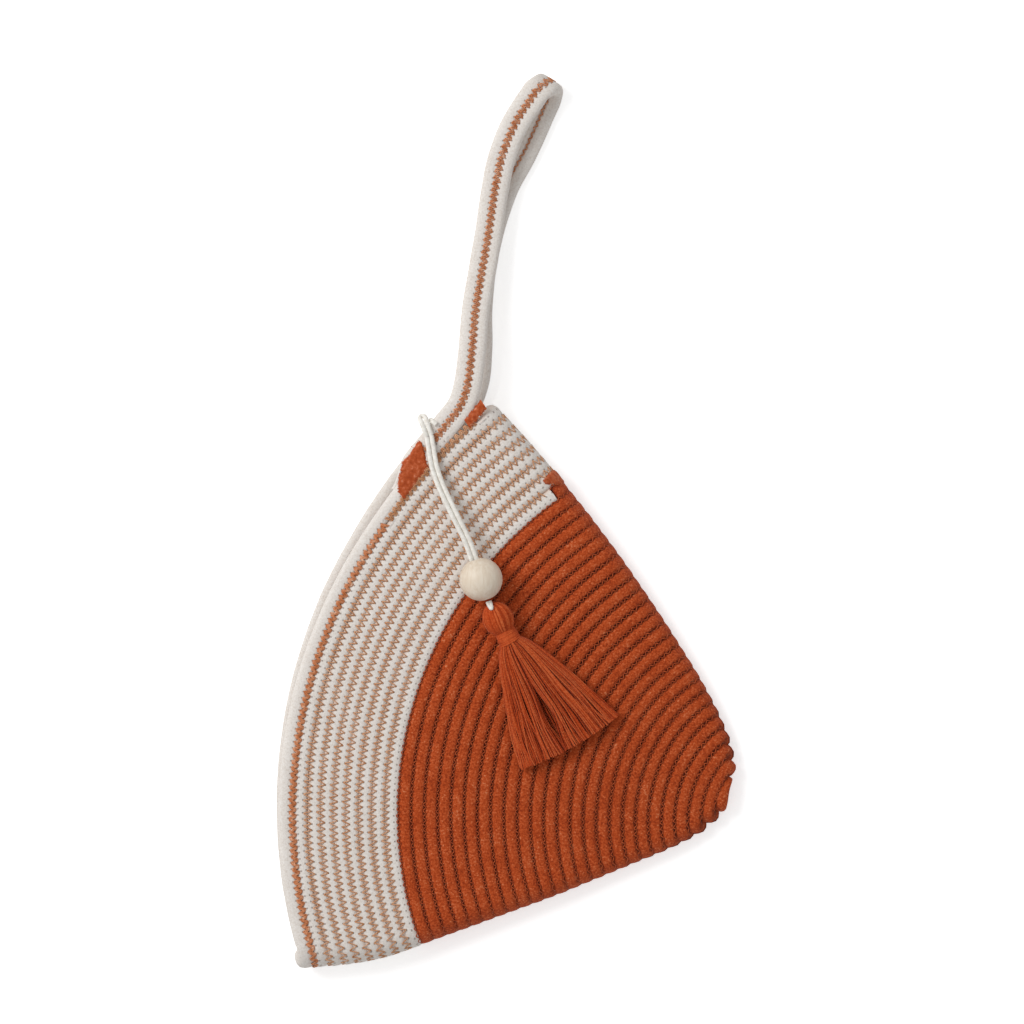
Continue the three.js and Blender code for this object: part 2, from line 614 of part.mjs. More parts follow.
const bag = new THREE.Group();
bag.add(rustRope(), whiteRope(), rimRope());
const strapEnd = sweep(outerRope.frontRoot.slice().reverse(), ropeSection);
bag.add(mesh("strap_end_rope", strapEnd, whiteRopeFinish));
for (const [name, rope] of [["inner", innerRope], ["outer", outerRope]]) {
  bag.add(mesh(`strap_${name}_front_bend`, sweep(rope.frontBend, ropeSection), whiteRopeFinish));
  bag.add(mesh(`strap_${name}_back_bend`, sweep(rope.backBend, ropeSection), whiteRopeFinish));
  bag.add(mesh(`strap_${name}_rope`, sweep(rope.free, ropeSection), whiteRopeFinish));
}
bag.add(rimPatch(), strapBar());

const charm = new THREE.Group();
const outerFront = besideSeam(legRun(FRONT_LEG, "front", false), -1);
charm.position.copy(stretch(outerFront, TIE_DISTANCE, Infinity)[0].point);
charm.quaternion.copy(onPanel(CHARM_HEADING));
charm.add(cordTie(), cordStrand("cord_strand_left", 1), cordStrand("cord_strand_right", -1), bead(),
  tasselLoop(), tassel());

// The bag's outline, without the charm, is centred on the origin and stands on it.
const clutch = new THREE.Group();
clutch.add(bag, charm);
const middle = new THREE.Box3().setFromObject(bag, true).getCenter(new THREE.Vector3());
clutch.position.set(-middle.x, -middle.y, 0);

export default clutch;
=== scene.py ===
import math

import bmesh
import bpy
import numpy as np
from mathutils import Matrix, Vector


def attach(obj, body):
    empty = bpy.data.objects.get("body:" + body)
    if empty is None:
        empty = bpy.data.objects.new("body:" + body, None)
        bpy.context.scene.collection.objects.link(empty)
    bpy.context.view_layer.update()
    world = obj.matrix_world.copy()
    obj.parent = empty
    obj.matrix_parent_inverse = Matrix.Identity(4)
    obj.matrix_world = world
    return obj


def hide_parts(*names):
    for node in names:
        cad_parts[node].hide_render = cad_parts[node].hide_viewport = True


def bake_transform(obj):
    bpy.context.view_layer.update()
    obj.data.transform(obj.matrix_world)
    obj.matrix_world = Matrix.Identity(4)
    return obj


# A wristlet clutch of coiled, zigzag-sewn cotton rope, with a charm of cord, bead and tassel.
# Shapes are worked out in millimetres about the point where the bag's side edges would meet, as the
# CAD is, and go into the meshes in metres.
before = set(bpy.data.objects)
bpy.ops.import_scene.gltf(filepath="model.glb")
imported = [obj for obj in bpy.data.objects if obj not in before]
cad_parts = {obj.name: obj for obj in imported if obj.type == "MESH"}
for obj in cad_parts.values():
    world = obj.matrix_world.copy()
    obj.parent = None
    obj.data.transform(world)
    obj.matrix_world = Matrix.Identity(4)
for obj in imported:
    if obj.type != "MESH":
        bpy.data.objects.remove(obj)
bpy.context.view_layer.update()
rng = np.random.default_rng(7)
MM = 0.001
BAG_MIDDLE = np.array([-128.6648, 134.8654, 0])  # of the bag's outline, where the part's frame has its origin

# The rope and its coil, in millimetres and degrees, as in the CAD
ROPE_DIAMETER = 5.7
ROW_PITCH = 6.06
RUST_TURNS = 25
WHITE_TURNS = 8
TIP_RADIUS = 29.9
AXIS_ANGLE = 161.2
STRAP_SIDE_ANGLE = 39.1
PLAIN_SIDE_ANGLE = 38.8
STRAP_TIP_ROUNDING = 22
PLAIN_TIP_ROUNDING = 16
TIP_ROUNDING_FADE = 8
STRAP_SIDE_DRAW_IN = 3.3
STRAP_SIDE_DRAW_START = 100
STRAP_SIDE_DRAW_LENGTH = 128
PLAIN_SIDE_DRAW_IN = 2.4
PLAIN_SIDE_DRAW_START = 190
PLAIN_SIDE_DRAW_LENGTH = 45
SIDE_DRAW_POWER = 1.5
TIP_SPACING = 6.1
MOUTH_SPACING = 20
STEP_ROWS = 20
BACK_SET = 0.2
CORNER_LIFT = 4.8
CORNER_LIFT_START = 150
CORNER_LIFT_ROWS = 8
# The rows' ends near the tip are tucked in further than in the CAD: degrees by the radius
STRAP_TIP_TUCK = [(30, 0), (36, 3.6), (42, 3), (48, 2), (60, 0.8), (75, 0)]
PLAIN_TIP_TUCK = [(30, 4.5), (36, 4.5), (42, 2.6), (60, 1.6), (90, 0.5), (110, 0)]
# By hand the rows don't lie quite evenly: how far they are set out near the tip, by the angle, and
# how far the last white rows are drawn in
TIP_WANDER = [(150, -2.0), (172, -1.0), (184, -0.1), (194, 0.7)]
TIP_WANDER_START = 29
TIP_WANDER_RISE = 9
TIP_WANDER_END = 155
TIP_WANDER_FADE = 65
MOUTH_WANDER = [(28, 0), (29.5, -0.6), (31.5, -1.1), (32.5, 0)]
# The strap and its fold, as in the CAD, with the bar tack at its root
STRAP_BEND_RADIUS = 6
STRAP_BEND_HEADING = 56
STRAP_BEND_SHIFT = 6.2
STRAP_BEND_AT = (-114.5, 332.8)
FRONT_LEG = [(-155.8, 179), (-149.1, 188), (-146.2, 197.2), (-144.1, 213.4), (-142.6, 231.8),
             (-139.5, 250.2), (-136.4, 268.7), (-133.7, 287.1), (-130.1, 303.5), (-123.9, 318.5)]
BACK_LEG = [(-112, 323.6), (-120.2, 305.5), (-128.8, 289.4), (-135.8, 268.7), (-139.6, 250.2),
            (-141.2, 231.8), (-141.3, 213.4), (-143, 197.8), (-147.6, 187.4)]
FRONT_LEG_SAG = 8
ROOT_ANGLE = 138
ROOT_RUN = 4
MOUTH_TURN_END = ROOT_ANGLE + 6  # the last turns stop here, where the strap's root takes over
TAIL_START = 6.5
TIE_DISTANCE = 36.4
HINGE_DISTANCE = 66
BAR_LENGTH = 11.6
BAR_WIDTH = 4.4
BAR_AT = (-142.8, 183.7)
BAR_HEADING = 50
BAR_LEAN = 0.3  # how far its stitches lean along it

# The charm, as in the CAD but for what a comment says
CORD_DIAMETER = 2
SOFT_CORD_RADIUS = 1.12  # soft cord spreads a little, so the two strands nearly touch
CORD_SPACING = 2.3
TIE_SPACING = 2.3
# How the cord sways in the photograph: how far from the tie, and how far aside of its straight line
CORD_LINE = [(0, 0.6), (7, 1.9), (14, 3.1), (22, 3.2), (31, 2.5), (42, 1.2), (50, 0.2), (60, 0)]
TIE_ASIDE = 0.6  # how far the tie lies aside of the cord's line
TIE_REACH = 9.9
TIE_LINE = [(0, 1, 1), (0.4, 1, 0.98), (0.7, 1.05, 0.7), (0.84, 1.15, 0.35), (0.93, 0.75, 0.1)]
COLLAR_ON = 5.8  # from the tie to the turn that the cord takes round the outer rope
COLLAR_RADIUS = 3.9
COLLAR_FROM = -50
COLLAR_TO = 80
TIE_CLEARANCE = 0.3
TIE_GAP = 0.3  # the strands start right at the tie
CHARM_HEADING = -70.8
CORD_LENGTH = 69.8
BEAD_TRAVEL = 20
BEAD_DIAMETER = 19.8
BEAD_BORE = 5
REST_CLEARANCE = 0.35
TASSEL_TURN = 9.6
LINK_GAP = 0.6
HEAD_CLEARANCE = 0.3
HEAD_LENGTH = 13
HEAD_DIAMETER = 14.4
NECK_DIAMETER = 8.8
BINDING_LENGTH = 8
BINDING_CLEARANCE = 0.3
SKIRT_LENGTH = 53
SKIRT_WIDTH = 50
SKIRT_THICKNESS = 7

# The sewing
STITCH_PITCH = 2.92  # of the zigzag, tip to tip on one side
STITCH_REACH = 1.9  # from the seam to the needle's holes
RUST_REACH = 0.72  # the same in the rust rows, where the thread sinks in deeper
THREAD_RADIUS = 0.29
RUST_THREAD_RADIUS = 0.27
BRIGHT_THREAD_RADIUS = 0.29
SUNK_AT_FOLDS = 0.1  # how much deeper the thread lies at the side folds
HOLE_DEPTH = 0.5  # how far the thread's ends go down into the needle's holes
STITCH_SHOULDER = 0.85  # where the thread comes up to the rope's top, as a share of its reach
STITCH_LIFT = 0.3  # how far it lies over the rope, as a share of its radius
STITCH_TURN = 0.1  # how soon it turns down at a hole, as a share of a stitch
STITCH_UNEVEN = 0.1  # how far the seam strays, as a standard deviation
SEAM_SAMPLE = 0.15  # the steps in which the nearest place along a seam is looked for
BESIDE_SEAM = 0.7  # how near a rope's middle is to a seam that it is sewn at, in rows
UNSEWN = 0.5  # the zigzag's phase halfway between two needle holes, for a side without a seam
SATIN_SPACING = 0.34  # between the threads of a satin-stitched patch
SATIN_RADIUS = 0.24
SATIN_RISE = 3.3  # of the threads over the ropes' middle
SATIN_POINTS = 9  # of one stitch
STITCH_END_DIP = 0.6  # how far a stitch's ends go down
PATCH_UNEVEN = 0.25  # how unevenly the stitches end, as standard deviations
SPLICE_UNEVEN = 0.15
BAR_UNEVEN = 0.22
SPLICE_PATCH_STEPS = 6  # stations of the fold that the patch at the colour change covers
# Its outline from the fold's underside, 0, to its end on the front, 1: places across the row there
SPLICE_PATCH_LOW = [(0, -5.6), (0.55, -5.6), (1, -0.6)]
SPLICE_PATCH_HIGH = [(0, 3), (0.55, 3), (1, 1.6)]
# The outline of the patch: lengths along the strap's seam, and places across it
PATCH_BOTTOM = 5.9
PATCH_TOP = 31.4
PATCH_LEFT = [(5.9, 5.8), (6.9, 1.8), (12, -2.0), (18.3, -4.8), (26, -5.8), (31.4, -5.6)]
PATCH_RIGHT = [(5.9, 6.3), (24.5, 5.7), (31.4, -4.2)]
STRAP_SEAM_START = 28
CORNER_SEAM_END = 128.5  # the angle where the strap's inner rope leaves the row beside it
START_TAPER = 12  # the length over which the rust rope's cut start is tapered
START_SIZE = 0.6  # the rope's size at that end, where 1 is whole
TAIL_TAPER = 17  # the length over which the last rope is tapered under the patch
TAIL_SIZE = 0.25  # its size at its end there
FLATTENED_AT = 0.05  # the ropes under the bag lie flat on the floor from this level down
HEAD_STRANDS = 64
HEAD_TWIST = 0.25
HEAD_OVERLAP = 1.3  # how far the yarn closes over the loop that it hangs on
LOOP_RISE = 3.0  # how far the loop's end comes up over the yarn
LOOP_REACH = 3.3
LOOP_HALF_WIDTH = 0.6
LOOP_CORD_RADIUS = 0.85
BINDING_WRAPS = 13
WRAP_STEPS = 24  # points of one wrap
SOFT_BINDING_LENGTH = 6.2  # the yarn swells out over the binding's end, so less of it shows
SOFT_BINDING_FLARE = 0.7  # how much wider it is at that end
SKIRT_FLARE = 0.72  # how the skirt widens: 1 is straight, and less swells out below the binding
SKIRT_NECK = 4.8  # half its width where it leaves the binding
SKIRT_ASIDE = 1.5  # how far the hem lies aside
SKIRT_ARC = 0.04  # how much shorter the outermost strands reach
SKIRT_STRANDS = 760
SKIRT_YARN_RADIUS = 0.33
# Gaps between the clumps of strands: places across, half widths there in millimetres, and places along
SKIRT_GAPS = [(-0.1, 2.5, 0.7), (0.3, 0.7, 0.8), (-0.5, 0.8, 0.6), (0.62, 0.5, 0.55)]
GAP_LENGTH = 0.2  # how far a gap reaches along, as a share of the skirt
GAP_REACH = 0.22  # how far across a gap pushes the strands beside it

# The studio
VIEW_CENTRE = (2.859, 3.845, 20)  # the middle of the photograph, on the front panel
VIEW_DISTANCE = 3000
VIEW_WIDTH = 471.2
FLOOR_SIZE = 6
FLOOR_GLOW = 0.5
FILL_LIGHT = 0.5
SOFTBOX_AT = (-0.9, 0.5, 1.1)
SOFTBOX_SIZE = 0.8
SOFTBOX_POWER = 12

# How finely the ropes are drawn
ROPE_SIDES = 16
CORD_SIDES = 12
ROPE_SQUARENESS = 2.8  # 2 is round: sewing presses the rope a little square
ROPE_HALF_WIDTH = 3.35  # soft rope spreads until its rows touch
ROPE_HALF_THICKNESS = 2.82
FOLD_SWELL = 0.75  # at the side folds the rows are pressed into each other, and look this much thicker
SWELL_START = 31  # the radius from which they swell, because the first row's ends don't
SWELL_RISE = 6
OPEN_AT_FOLDS = 0.65  # how much less painted shade the valleys get at the side folds
VALLEY_SHADE_WIDTH = 0.75  # how far from the seam the painted valley shade starts on a sewn side
PANEL_STEPS = 46
FOLD_TURN_STEPS = 10
LEG_STEPS = 110

ROPE_HALF_HEIGHT = ROPE_DIAMETER / 2 * math.cos(math.pi / 6)
BACK_LEVEL = ROPE_HALF_HEIGHT
LAST_ROW = RUST_TURNS + WHITE_TURNS
MOUTH_RADIUS = TIP_RADIUS + LAST_ROW * ROW_PITCH
AXIS = np.array([math.cos(math.radians(AXIS_ANGLE)), math.sin(math.radians(AXIS_ANGLE)), 0])
PANEL_SLOPE = (MOUTH_SPACING - TIP_SPACING) / (MOUTH_RADIUS - TIP_RADIUS)
UP = np.array([0.0, 0.0, 1.0])
DOWN = -UP


def unit(vectors):
    vectors = np.asarray(vectors, float)
    return vectors / np.linalg.norm(vectors, axis=-1, keepdims=True)


PANEL_NORMAL = unit(UP - PANEL_SLOPE * AXIS)


def rope_section(angle):
    """The rope's cross-section: across and up from its middle, by the angle from its top."""
    power = ROPE_SQUARENESS
    size = (np.abs(np.sin(angle)) ** power + np.abs(np.cos(angle)) ** power) ** (-1 / power)
    return ROPE_HALF_WIDTH * np.sin(angle) * size, ROPE_HALF_THICKNESS * np.cos(angle) * size


SECTION_ANGLES = np.linspace(0, math.pi, 181)
SECTION_ACROSS, SECTION_UP = rope_section(SECTION_ANGLES)
SECTION_LENGTHS = np.concatenate([[0], np.cumsum(np.hypot(np.diff(SECTION_ACROSS), np.diff(SECTION_UP)))])


def rope_top(across):
    """How high the rope's surface lies at a place across it."""
    top = SECTION_ANGLES <= math.pi / 2
    return float(np.interp(across, SECTION_ACROSS[top], SECTION_UP[top]))


# Materials

def hex_colour(code, alpha=1.0):
    """An sRGB hex value as the linear colour that a shader's socket holds."""
    parts = [int(code[i:i + 2], 16) / 255 for i in (0, 2, 4)]
    linear = [c / 12.92 if c <= 0.04045 else ((c + 0.055) / 1.055) ** 2.4 for c in parts]
    return (*linear, alpha)


def node(tree, kind, sockets=(), **settings):
    """Adds a node, with its settings, and values or links for its inputs by name or number."""
    made = tree.nodes.new(kind)
    for key, value in settings.items():
        setattr(made, key, value)
    for key, value in dict(sockets).items():
        if isinstance(value, bpy.types.NodeSocket):
            tree.links.new(value, made.inputs[key])
        else:
            made.inputs[key].default_value = value
    return made


def new_material(name):
    """A material with its surface shader, and the tree to add its pattern to."""
    material = bpy.data.materials.new(name)
    material.use_nodes = True
    tree = material.node_tree
    shader = tree.nodes["Principled BSDF"]
    return material, tree, shader


def finish_surface(tree, shader, colour, bump, values):
    """Links the colour and the relief to the surface shader, and sets its plain values."""
    tree.links.new(colour, shader.inputs["Base Color"])
    tree.links.new(bump.outputs[0], shader.inputs["Normal"])
    for name, value in values.items():
        shader.inputs[name].default_value = value


def per_mm(size):
    """The scale at which a texture on coordinates in metres repeats at about this size."""
    return 1 / (size * MM)


def ramp(tree, value, stops):
    """A colour ramp with stops of place and sRGB hex."""
    made = node(tree, "ShaderNodeValToRGB", {0: value})
    while len(made.color_ramp.elements) < len(stops):
        made.color_ramp.elements.new(0.5)
    for element, (place, code) in zip(made.color_ramp.elements, stops):
        element.position = place
        element.color = hex_colour(code)
    return made.outputs["Color"]


def needle_holes(tree, phase_name, side, reach):
    """How much of a needle hole there is at a point: the zigzag pulls a pit into the rope at each turn. The
    material paints the pit dark as shade, and dents its relief with it.
    """
    phase = node(tree, "ShaderNodeAttribute", attribute_name=phase_name).outputs["Fac"]
    around = node(tree, "ShaderNodeAttribute", attribute_name="around").outputs["Fac"]
    shifted = node(tree, "ShaderNodeMath", {0: phase, 1: 0.5}, operation="ADD").outputs[0]
    cycle = node(tree, "ShaderNodeMath", {0: shifted}, operation="FRACT").outputs[0]
    centred = node(tree, "ShaderNodeMath", {0: cycle, 1: 0.5}, operation="SUBTRACT").outputs[0]
    along = node(tree, "ShaderNodeMath", {0: centred, 1: STITCH_PITCH}, operation="MULTIPLY").outputs[0]
    top = SECTION_ANGLES <= math.pi / 2
    hole_at = side * float(np.interp(ROW_PITCH / 2 - reach, SECTION_ACROSS[top], SECTION_LENGTHS[top]))
    across = node(tree, "ShaderNodeMath", {0: around, 1: hole_at}, operation="SUBTRACT").outputs[0]
    place = node(tree, "ShaderNodeCombineXYZ", {0: along, 1: across}).outputs[0]
    distance = node(tree, "ShaderNodeVectorMath", {0: place}, operation="LENGTH").outputs["Value"]
    return node(tree, "ShaderNodeMapRange", {0: distance, 1: 0.6, 2: 0.15, 3: 0.0, 4: 1.0},
                interpolation_type="SMOOTHSTEP").outputs[0]


def cotton_rope(name, stops, valley, valley_shade_strength, hole, hole_shade_strength, reach):
    """Soft cotton rope with a knitted cover: heathered colour, fine fuzz and no shine. Towards a seam
    it is darkened with painted shade in the valley, and small dark spots of painted shade mark the needle's
    pits there."""
    material, tree, shader = new_material(name)
    place = node(tree, "ShaderNodeTexCoord").outputs["Object"]
    # Cotton fibres are finer than the picture shows, so the fuzz is drawn coarser
    fibre = node(tree, "ShaderNodeTexNoise", {0: place, "Scale": per_mm(0.9), "Detail": 4.0,
                                              "Roughness": 0.65}).outputs[0]
    patch = node(tree, "ShaderNodeTexNoise", {0: place, "Scale": per_mm(9), "Detail": 2.0}).outputs[0]
    mixed = node(tree, "ShaderNodeMath", {0: patch, 1: 0.16}, operation="MULTIPLY").outputs[0]
    heather = node(tree, "ShaderNodeMath", {0: fibre, 1: 0.84, 2: mixed},
                   operation="MULTIPLY_ADD").outputs[0]
    colour = ramp(tree, heather, stops)
    # Painted shade: towards a sewn seam the colour is mixed with the valley's shade colour, by the painted
    # valley mask
    sunk = node(tree, "ShaderNodeAttribute", attribute_name="valley").outputs["Fac"]
    shade = node(tree, "ShaderNodeMath", {0: sunk, 1: valley_shade_strength}, operation="MULTIPLY").outputs[0]
    shaded = node(tree, "ShaderNodeMix", {0: shade, 6: colour, 7: hex_colour(valley)},
                  data_type="RGBA").outputs[2]
    # Painted shade: the needle's pits are painted dark with the hole colour, and the same mask also dents the
    # relief
    outer = needle_holes(tree, "outer_phase", 1, reach)
    inner = needle_holes(tree, "inner_phase", -1, reach)
    holes = node(tree, "ShaderNodeMath", {0: outer, 1: inner}, operation="MAXIMUM").outputs[0]
    amount = node(tree, "ShaderNodeMath", {0: holes, 1: hole_shade_strength}, operation="MULTIPLY").outputs[0]
    hole_shaded_colour = node(tree, "ShaderNodeMix", {0: amount, 6: shaded, 7: hex_colour(hole)},
                  data_type="RGBA").outputs[2]
    cover = node(tree, "ShaderNodeTexVoronoi", {0: place, "Scale": per_mm(1.3)}).outputs["Distance"]
    lumps = node(tree, "ShaderNodeMath", {0: cover, 1: -0.5, 2: fibre},
                 operation="MULTIPLY_ADD").outputs[0]
    height = node(tree, "ShaderNodeMath", {0: holes, 1: -1.2, 2: lumps},
                  operation="MULTIPLY_ADD").outputs[0]
    bump = node(tree, "ShaderNodeBump", {"Height": height, "Distance": 0.25 * MM, "Strength": 0.6})
    finish_surface(tree, shader, hole_shaded_colour, bump,
                   {"Roughness": 0.95, "Specular IOR Level": 0.1,
                    "Sheen Weight": 0.06, "Sheen Roughness": 0.6})
    return material


def twisted_thread(name, stops, roughness, ply):
    """Twisted sewing thread or yarn: fine plies that catch the light, with a slight change of tone
    from one stretch to the next."""
    material, tree, shader = new_material(name)
    place = node(tree, "ShaderNodeTexCoord").outputs["Object"]
    tone = node(tree, "ShaderNodeTexNoise", {0: place, "Scale": per_mm(1.6), "Detail": 3.0}).outputs[0]
    plies = node(tree, "ShaderNodeTexNoise", {0: place, "Scale": per_mm(ply), "Detail": 2.0}).outputs[0]
    colour = ramp(tree, tone, stops)
    bump = node(tree, "ShaderNodeBump", {"Height": plies, "Distance": 0.1 * MM, "Strength": 0.6})
    finish_surface(tree, shader, colour, bump,
                   {"Roughness": roughness, "Specular IOR Level": 0.2,
                    "Sheen Weight": 0.05})
    return material


def combed_yarn(name, stops):
    """Soft cotton yarn, combed straight: each strand has a tone of its own, and no shine."""
    material, tree, shader = new_material(name)
    place = node(tree, "ShaderNodeTexCoord").outputs["Object"]
    tint = node(tree, "ShaderNodeAttribute", attribute_name="tint").outputs["Fac"]
    # The yarn's fibres, drawn coarser than they are so that they show
    fibre = node(tree, "ShaderNodeTexNoise", {0: place, "Scale": per_mm(0.8), "Detail": 3.0}).outputs[0]
    tone = node(tree, "ShaderNodeMath", {0: tint, 1: 0.6, 2: fibre}, operation="MULTIPLY_ADD").outputs[0]
    shifted = node(tree, "ShaderNodeMath", {0: tone, 1: 0.3}, operation="SUBTRACT").outputs[0]
    colour = ramp(tree, shifted, stops)
    bump = node(tree, "ShaderNodeBump", {"Height": fibre, "Distance": 0.15 * MM, "Strength": 0.6})
    finish_surface(tree, shader, colour, bump,
                   {"Roughness": 0.8, "Specular IOR Level": 0.15,
                    "Sheen Weight": 0.05})
    return material


def turned_beech(name):
    """Pale beech, turned and sanded without varnish: long fine grain, small darker flecks, satin."""
    material, tree, shader = new_material(name)
    place = node(tree, "ShaderNodeTexCoord").outputs["Object"]
    long_grain = node(tree, "ShaderNodeMapping", {0: place, 3: (6, 1, 6)}).outputs[0]
    grain = node(tree, "ShaderNodeTexNoise", {0: long_grain, "Scale": per_mm(9), "Detail": 5.0,
                                              "Distortion": 0.6}).outputs[0]
    flecks = node(tree, "ShaderNodeTexNoise", {0: long_grain, "Scale": per_mm(1.6), "Detail": 2.0}).outputs[0]
    colour = ramp(tree, grain, [(0.3, "dac9b3"), (0.5, "e1d2be"), (0.7, "e7dbca")])
    fleck = node(tree, "ShaderNodeMapRange", {0: flecks, 1: 0.6, 2: 0.75, 3: 0.0, 4: 0.15}).outputs[0]
    mixed = node(tree, "ShaderNodeMix", {0: fleck, 6: colour, 7: hex_colour("c9b08c")},
                 data_type="RGBA").outputs[2]
    bump = node(tree, "ShaderNodeBump", {"Height": grain, "Distance": 0.1 * MM, "Strength": 0.1})
    finish_surface(tree, shader, mixed, bump, {"Roughness": 0.45})
    return material


RUST_STOPS = [(0.36, "8c3010"), (0.46, "ab4319"), (0.53, "bb4e21"), (0.6, "c76035"), (0.68, "d98b62")]
WHITE_STOPS = [(0.3, "d7ccc2"), (0.5, "e6dfd8"), (0.7, "f1ece7")]
# Painted shade: the third and fifth values are the colours painted into the valleys and into the needle's
# pits
rust_cotton = cotton_rope("rust cotton rope", RUST_STOPS, "2a0802", 0.85, "2a0802", 0.5, RUST_REACH)
white_cotton = cotton_rope("natural cotton rope", WHITE_STOPS, "d6b097", 0.5, "5f3d29", 0.6, STITCH_REACH)
rust_thread = twisted_thread("rust polyester thread", [(0.3, "8f3513"), (0.6, "b35024")], 0.6, 0.25)
tan_thread = twisted_thread("tan polyester thread", [(0.35, "c08458"), (0.65, "dcab86")], 0.55, 0.25)
BRIGHT_STOPS = [(0.3, "b3683a"), (0.45, "c97f53"), (0.62, "da9c76"), (0.75, "efd2bc")]
bright_thread = twisted_thread("bright rust thread", BRIGHT_STOPS, 0.5, 0.25)
SATIN_STOPS = [(0.3, "a8451b"), (0.5, "bd5829"), (0.65, "ce7047"), (0.75, "e3a584")]
satin_thread = twisted_thread("rust satin stitches", SATIN_STOPS, 0.5, 0.25)
cord_cotton = twisted_thread("braided white cotton cord", [(0.35, "e4dfd6"), (0.6, "f4f1ea")], 0.8, 0.5)
tassel_cotton = combed_yarn("rust tassel yarn", [(0.15, "9a340a"), (0.5, "bd4a1b"), (0.85, "d36b3a")])
binding_thread = twisted_thread("rust binding yarn", [(0.3, "b04214"), (0.7, "cd5c29")], 0.7, 0.4)
beech = turned_beech("turned beech")


def place_camera():
    """Straight above the bag, through a long lens, as the photograph was taken."""
    lens = bpy.data.cameras.new("camera")
    lens.sensor_width = 36
    lens.lens = lens.sensor_width * VIEW_DISTANCE / VIEW_WIDTH
    lens.clip_end = 20
    camera = bpy.data.objects.new("camera", lens)
    bpy.context.scene.collection.objects.link(camera)
    camera.location = (Vector(VIEW_CENTRE) + Vector((0, 0, VIEW_DISTANCE))) * MM
    bpy.context.scene.camera = camera


place_camera()
scene_view = bpy.context.scene.view_settings
scene_view.view_transform = "Standard"


# The route of the rope

def ease(share):
    share = np.clip(share, 0, 1)
    return share * share * (3 - 2 * share)


def front_level(x, y):
    """The level of the front rows' middle over a place on the floor."""
    along = x * AXIS[0] + y * AXIS[1]
    return BACK_LEVEL + TIP_SPACING + PANEL_SLOPE * (along - TIP_RADIUS)


def turned_in(radius, start, length):
    return (max(0, radius - start) / length) ** SIDE_DRAW_POWER


def side_angle(side, radius):
    """The angle of a side edge, which is rounded and tucked in at the tip and drawn in at the mouth."""
    fade = math.exp((TIP_RADIUS - radius) / TIP_ROUNDING_FADE)
    if side == "strap":
        drawn = turned_in(radius, STRAP_SIDE_DRAW_START, STRAP_SIDE_DRAW_LENGTH)
        tucked = STRAP_TIP_ROUNDING * fade + np.interp(radius, *zip(*STRAP_TIP_TUCK))
        return AXIS_ANGLE - STRAP_SIDE_ANGLE + tucked + STRAP_SIDE_DRAW_IN * drawn
    drawn = turned_in(radius, PLAIN_SIDE_DRAW_START, PLAIN_SIDE_DRAW_LENGTH)
    tucked = PLAIN_TIP_ROUNDING * fade + np.interp(radius, *zip(*PLAIN_TIP_TUCK))
    return AXIS_ANGLE + PLAIN_SIDE_ANGLE - tucked - PLAIN_SIDE_DRAW_IN * drawn


def corner_lift(row, angle):
    """How far the strap pulls the mouth's corner out of the round."""
    rows = min(max((row - LAST_ROW + CORNER_LIFT_ROWS) / CORNER_LIFT_ROWS, 0), 1)
    span = CORNER_LIFT_START - side_angle("strap", MOUTH_RADIUS)
    turn = max(0, (CORNER_LIFT_START - angle) / span)
    return CORNER_LIFT * rows * turn * turn


def panel_point(row, angle, panel):
    """A point on a row's middle line, with the unevenness of rows laid by hand."""
    radius = TIP_RADIUS + row * ROW_PITCH + corner_lift(row, angle)
    fading = ease((TIP_WANDER_END - radius) / TIP_WANDER_FADE)
    near_tip = fading * ease((radius - TIP_WANDER_START) / TIP_WANDER_RISE)
    radius += np.interp(angle, *zip(*TIP_WANDER)) * near_tip + np.interp(row, *zip(*MOUTH_WANDER))
    x = radius * math.cos(math.radians(angle))
    y = radius * math.sin(math.radians(angle))
    return np.array([x, y, front_level(x, y) if panel == "front" else BACK_LEVEL])


def fold_at(row, side):
    """The angle where a row's side fold starts: half the fold's round turn lies outside of it."""
    radius = TIP_RADIUS + row * ROW_PITCH
    edge = side_angle(side, radius)
    half = (panel_point(row, edge, "front")[2] - BACK_LEVEL) / 2
    inward = 1 if side == "strap" else -1
    return edge + inward * math.degrees((half + ROPE_DIAMETER / 2) / radius)


def step_out(row, angle):
    """On the back the rope steps out by one row: evenly at the tip, and mostly near the strap's side
    further out."""
    start = fold_at(row, "plain")
    share = (start - angle) / (start - fold_at(row + 1, "strap"))
    return share ** (1 + min(row / STEP_ROWS, 1))


def panel_run(row, from_angle, to_angle, panel):
    """Stations of a rope on a panel: its middle line, and the direction that faces out of the bag."""
    angles = np.linspace(from_angle, to_angle, PANEL_STEPS + 1)
    if panel == "front":
        return [(panel_point(row, angle, "front"), PANEL_NORMAL) for angle in angles]
    return [(panel_point(row + BACK_SET + step_out(row, angle), angle, "back"), DOWN) for angle in angles]


def fold_run(row, side):
    """Stations round the fold at the side of the bag."""
    angle = fold_at(row, side)
    front = panel_point(row, angle, "front")
    half = (front[2] - BACK_LEVEL) / 2
    outward = -1 if side == "strap" else 1
    radial = math.radians(angle)
    sideways = outward * np.array([-math.sin(radial), math.cos(radial), 0])
    run = []
    for step in range(1, FOLD_TURN_STEPS):
        turn = math.pi * step / FOLD_TURN_STEPS
        out = sideways * math.sin(turn) + UP * math.cos(turn)
        run.append((np.array([front[0], front[1], BACK_LEVEL + half]) + out * half, out))
    return run[::-1] if side == "strap" else run


def front_row(row):
    return panel_run(row, fold_at(row, "strap"), fold_at(row, "plain"), "front")


def back_row(row, end_angle):
    return panel_run(row, fold_at(row, "plain"), end_angle, "back")


def whole_turn(row):
    return (front_row(row) + fold_run(row, "plain")
            + back_row(row, fold_at(row + 1, "strap")) + fold_run(row + 1, "strap"))


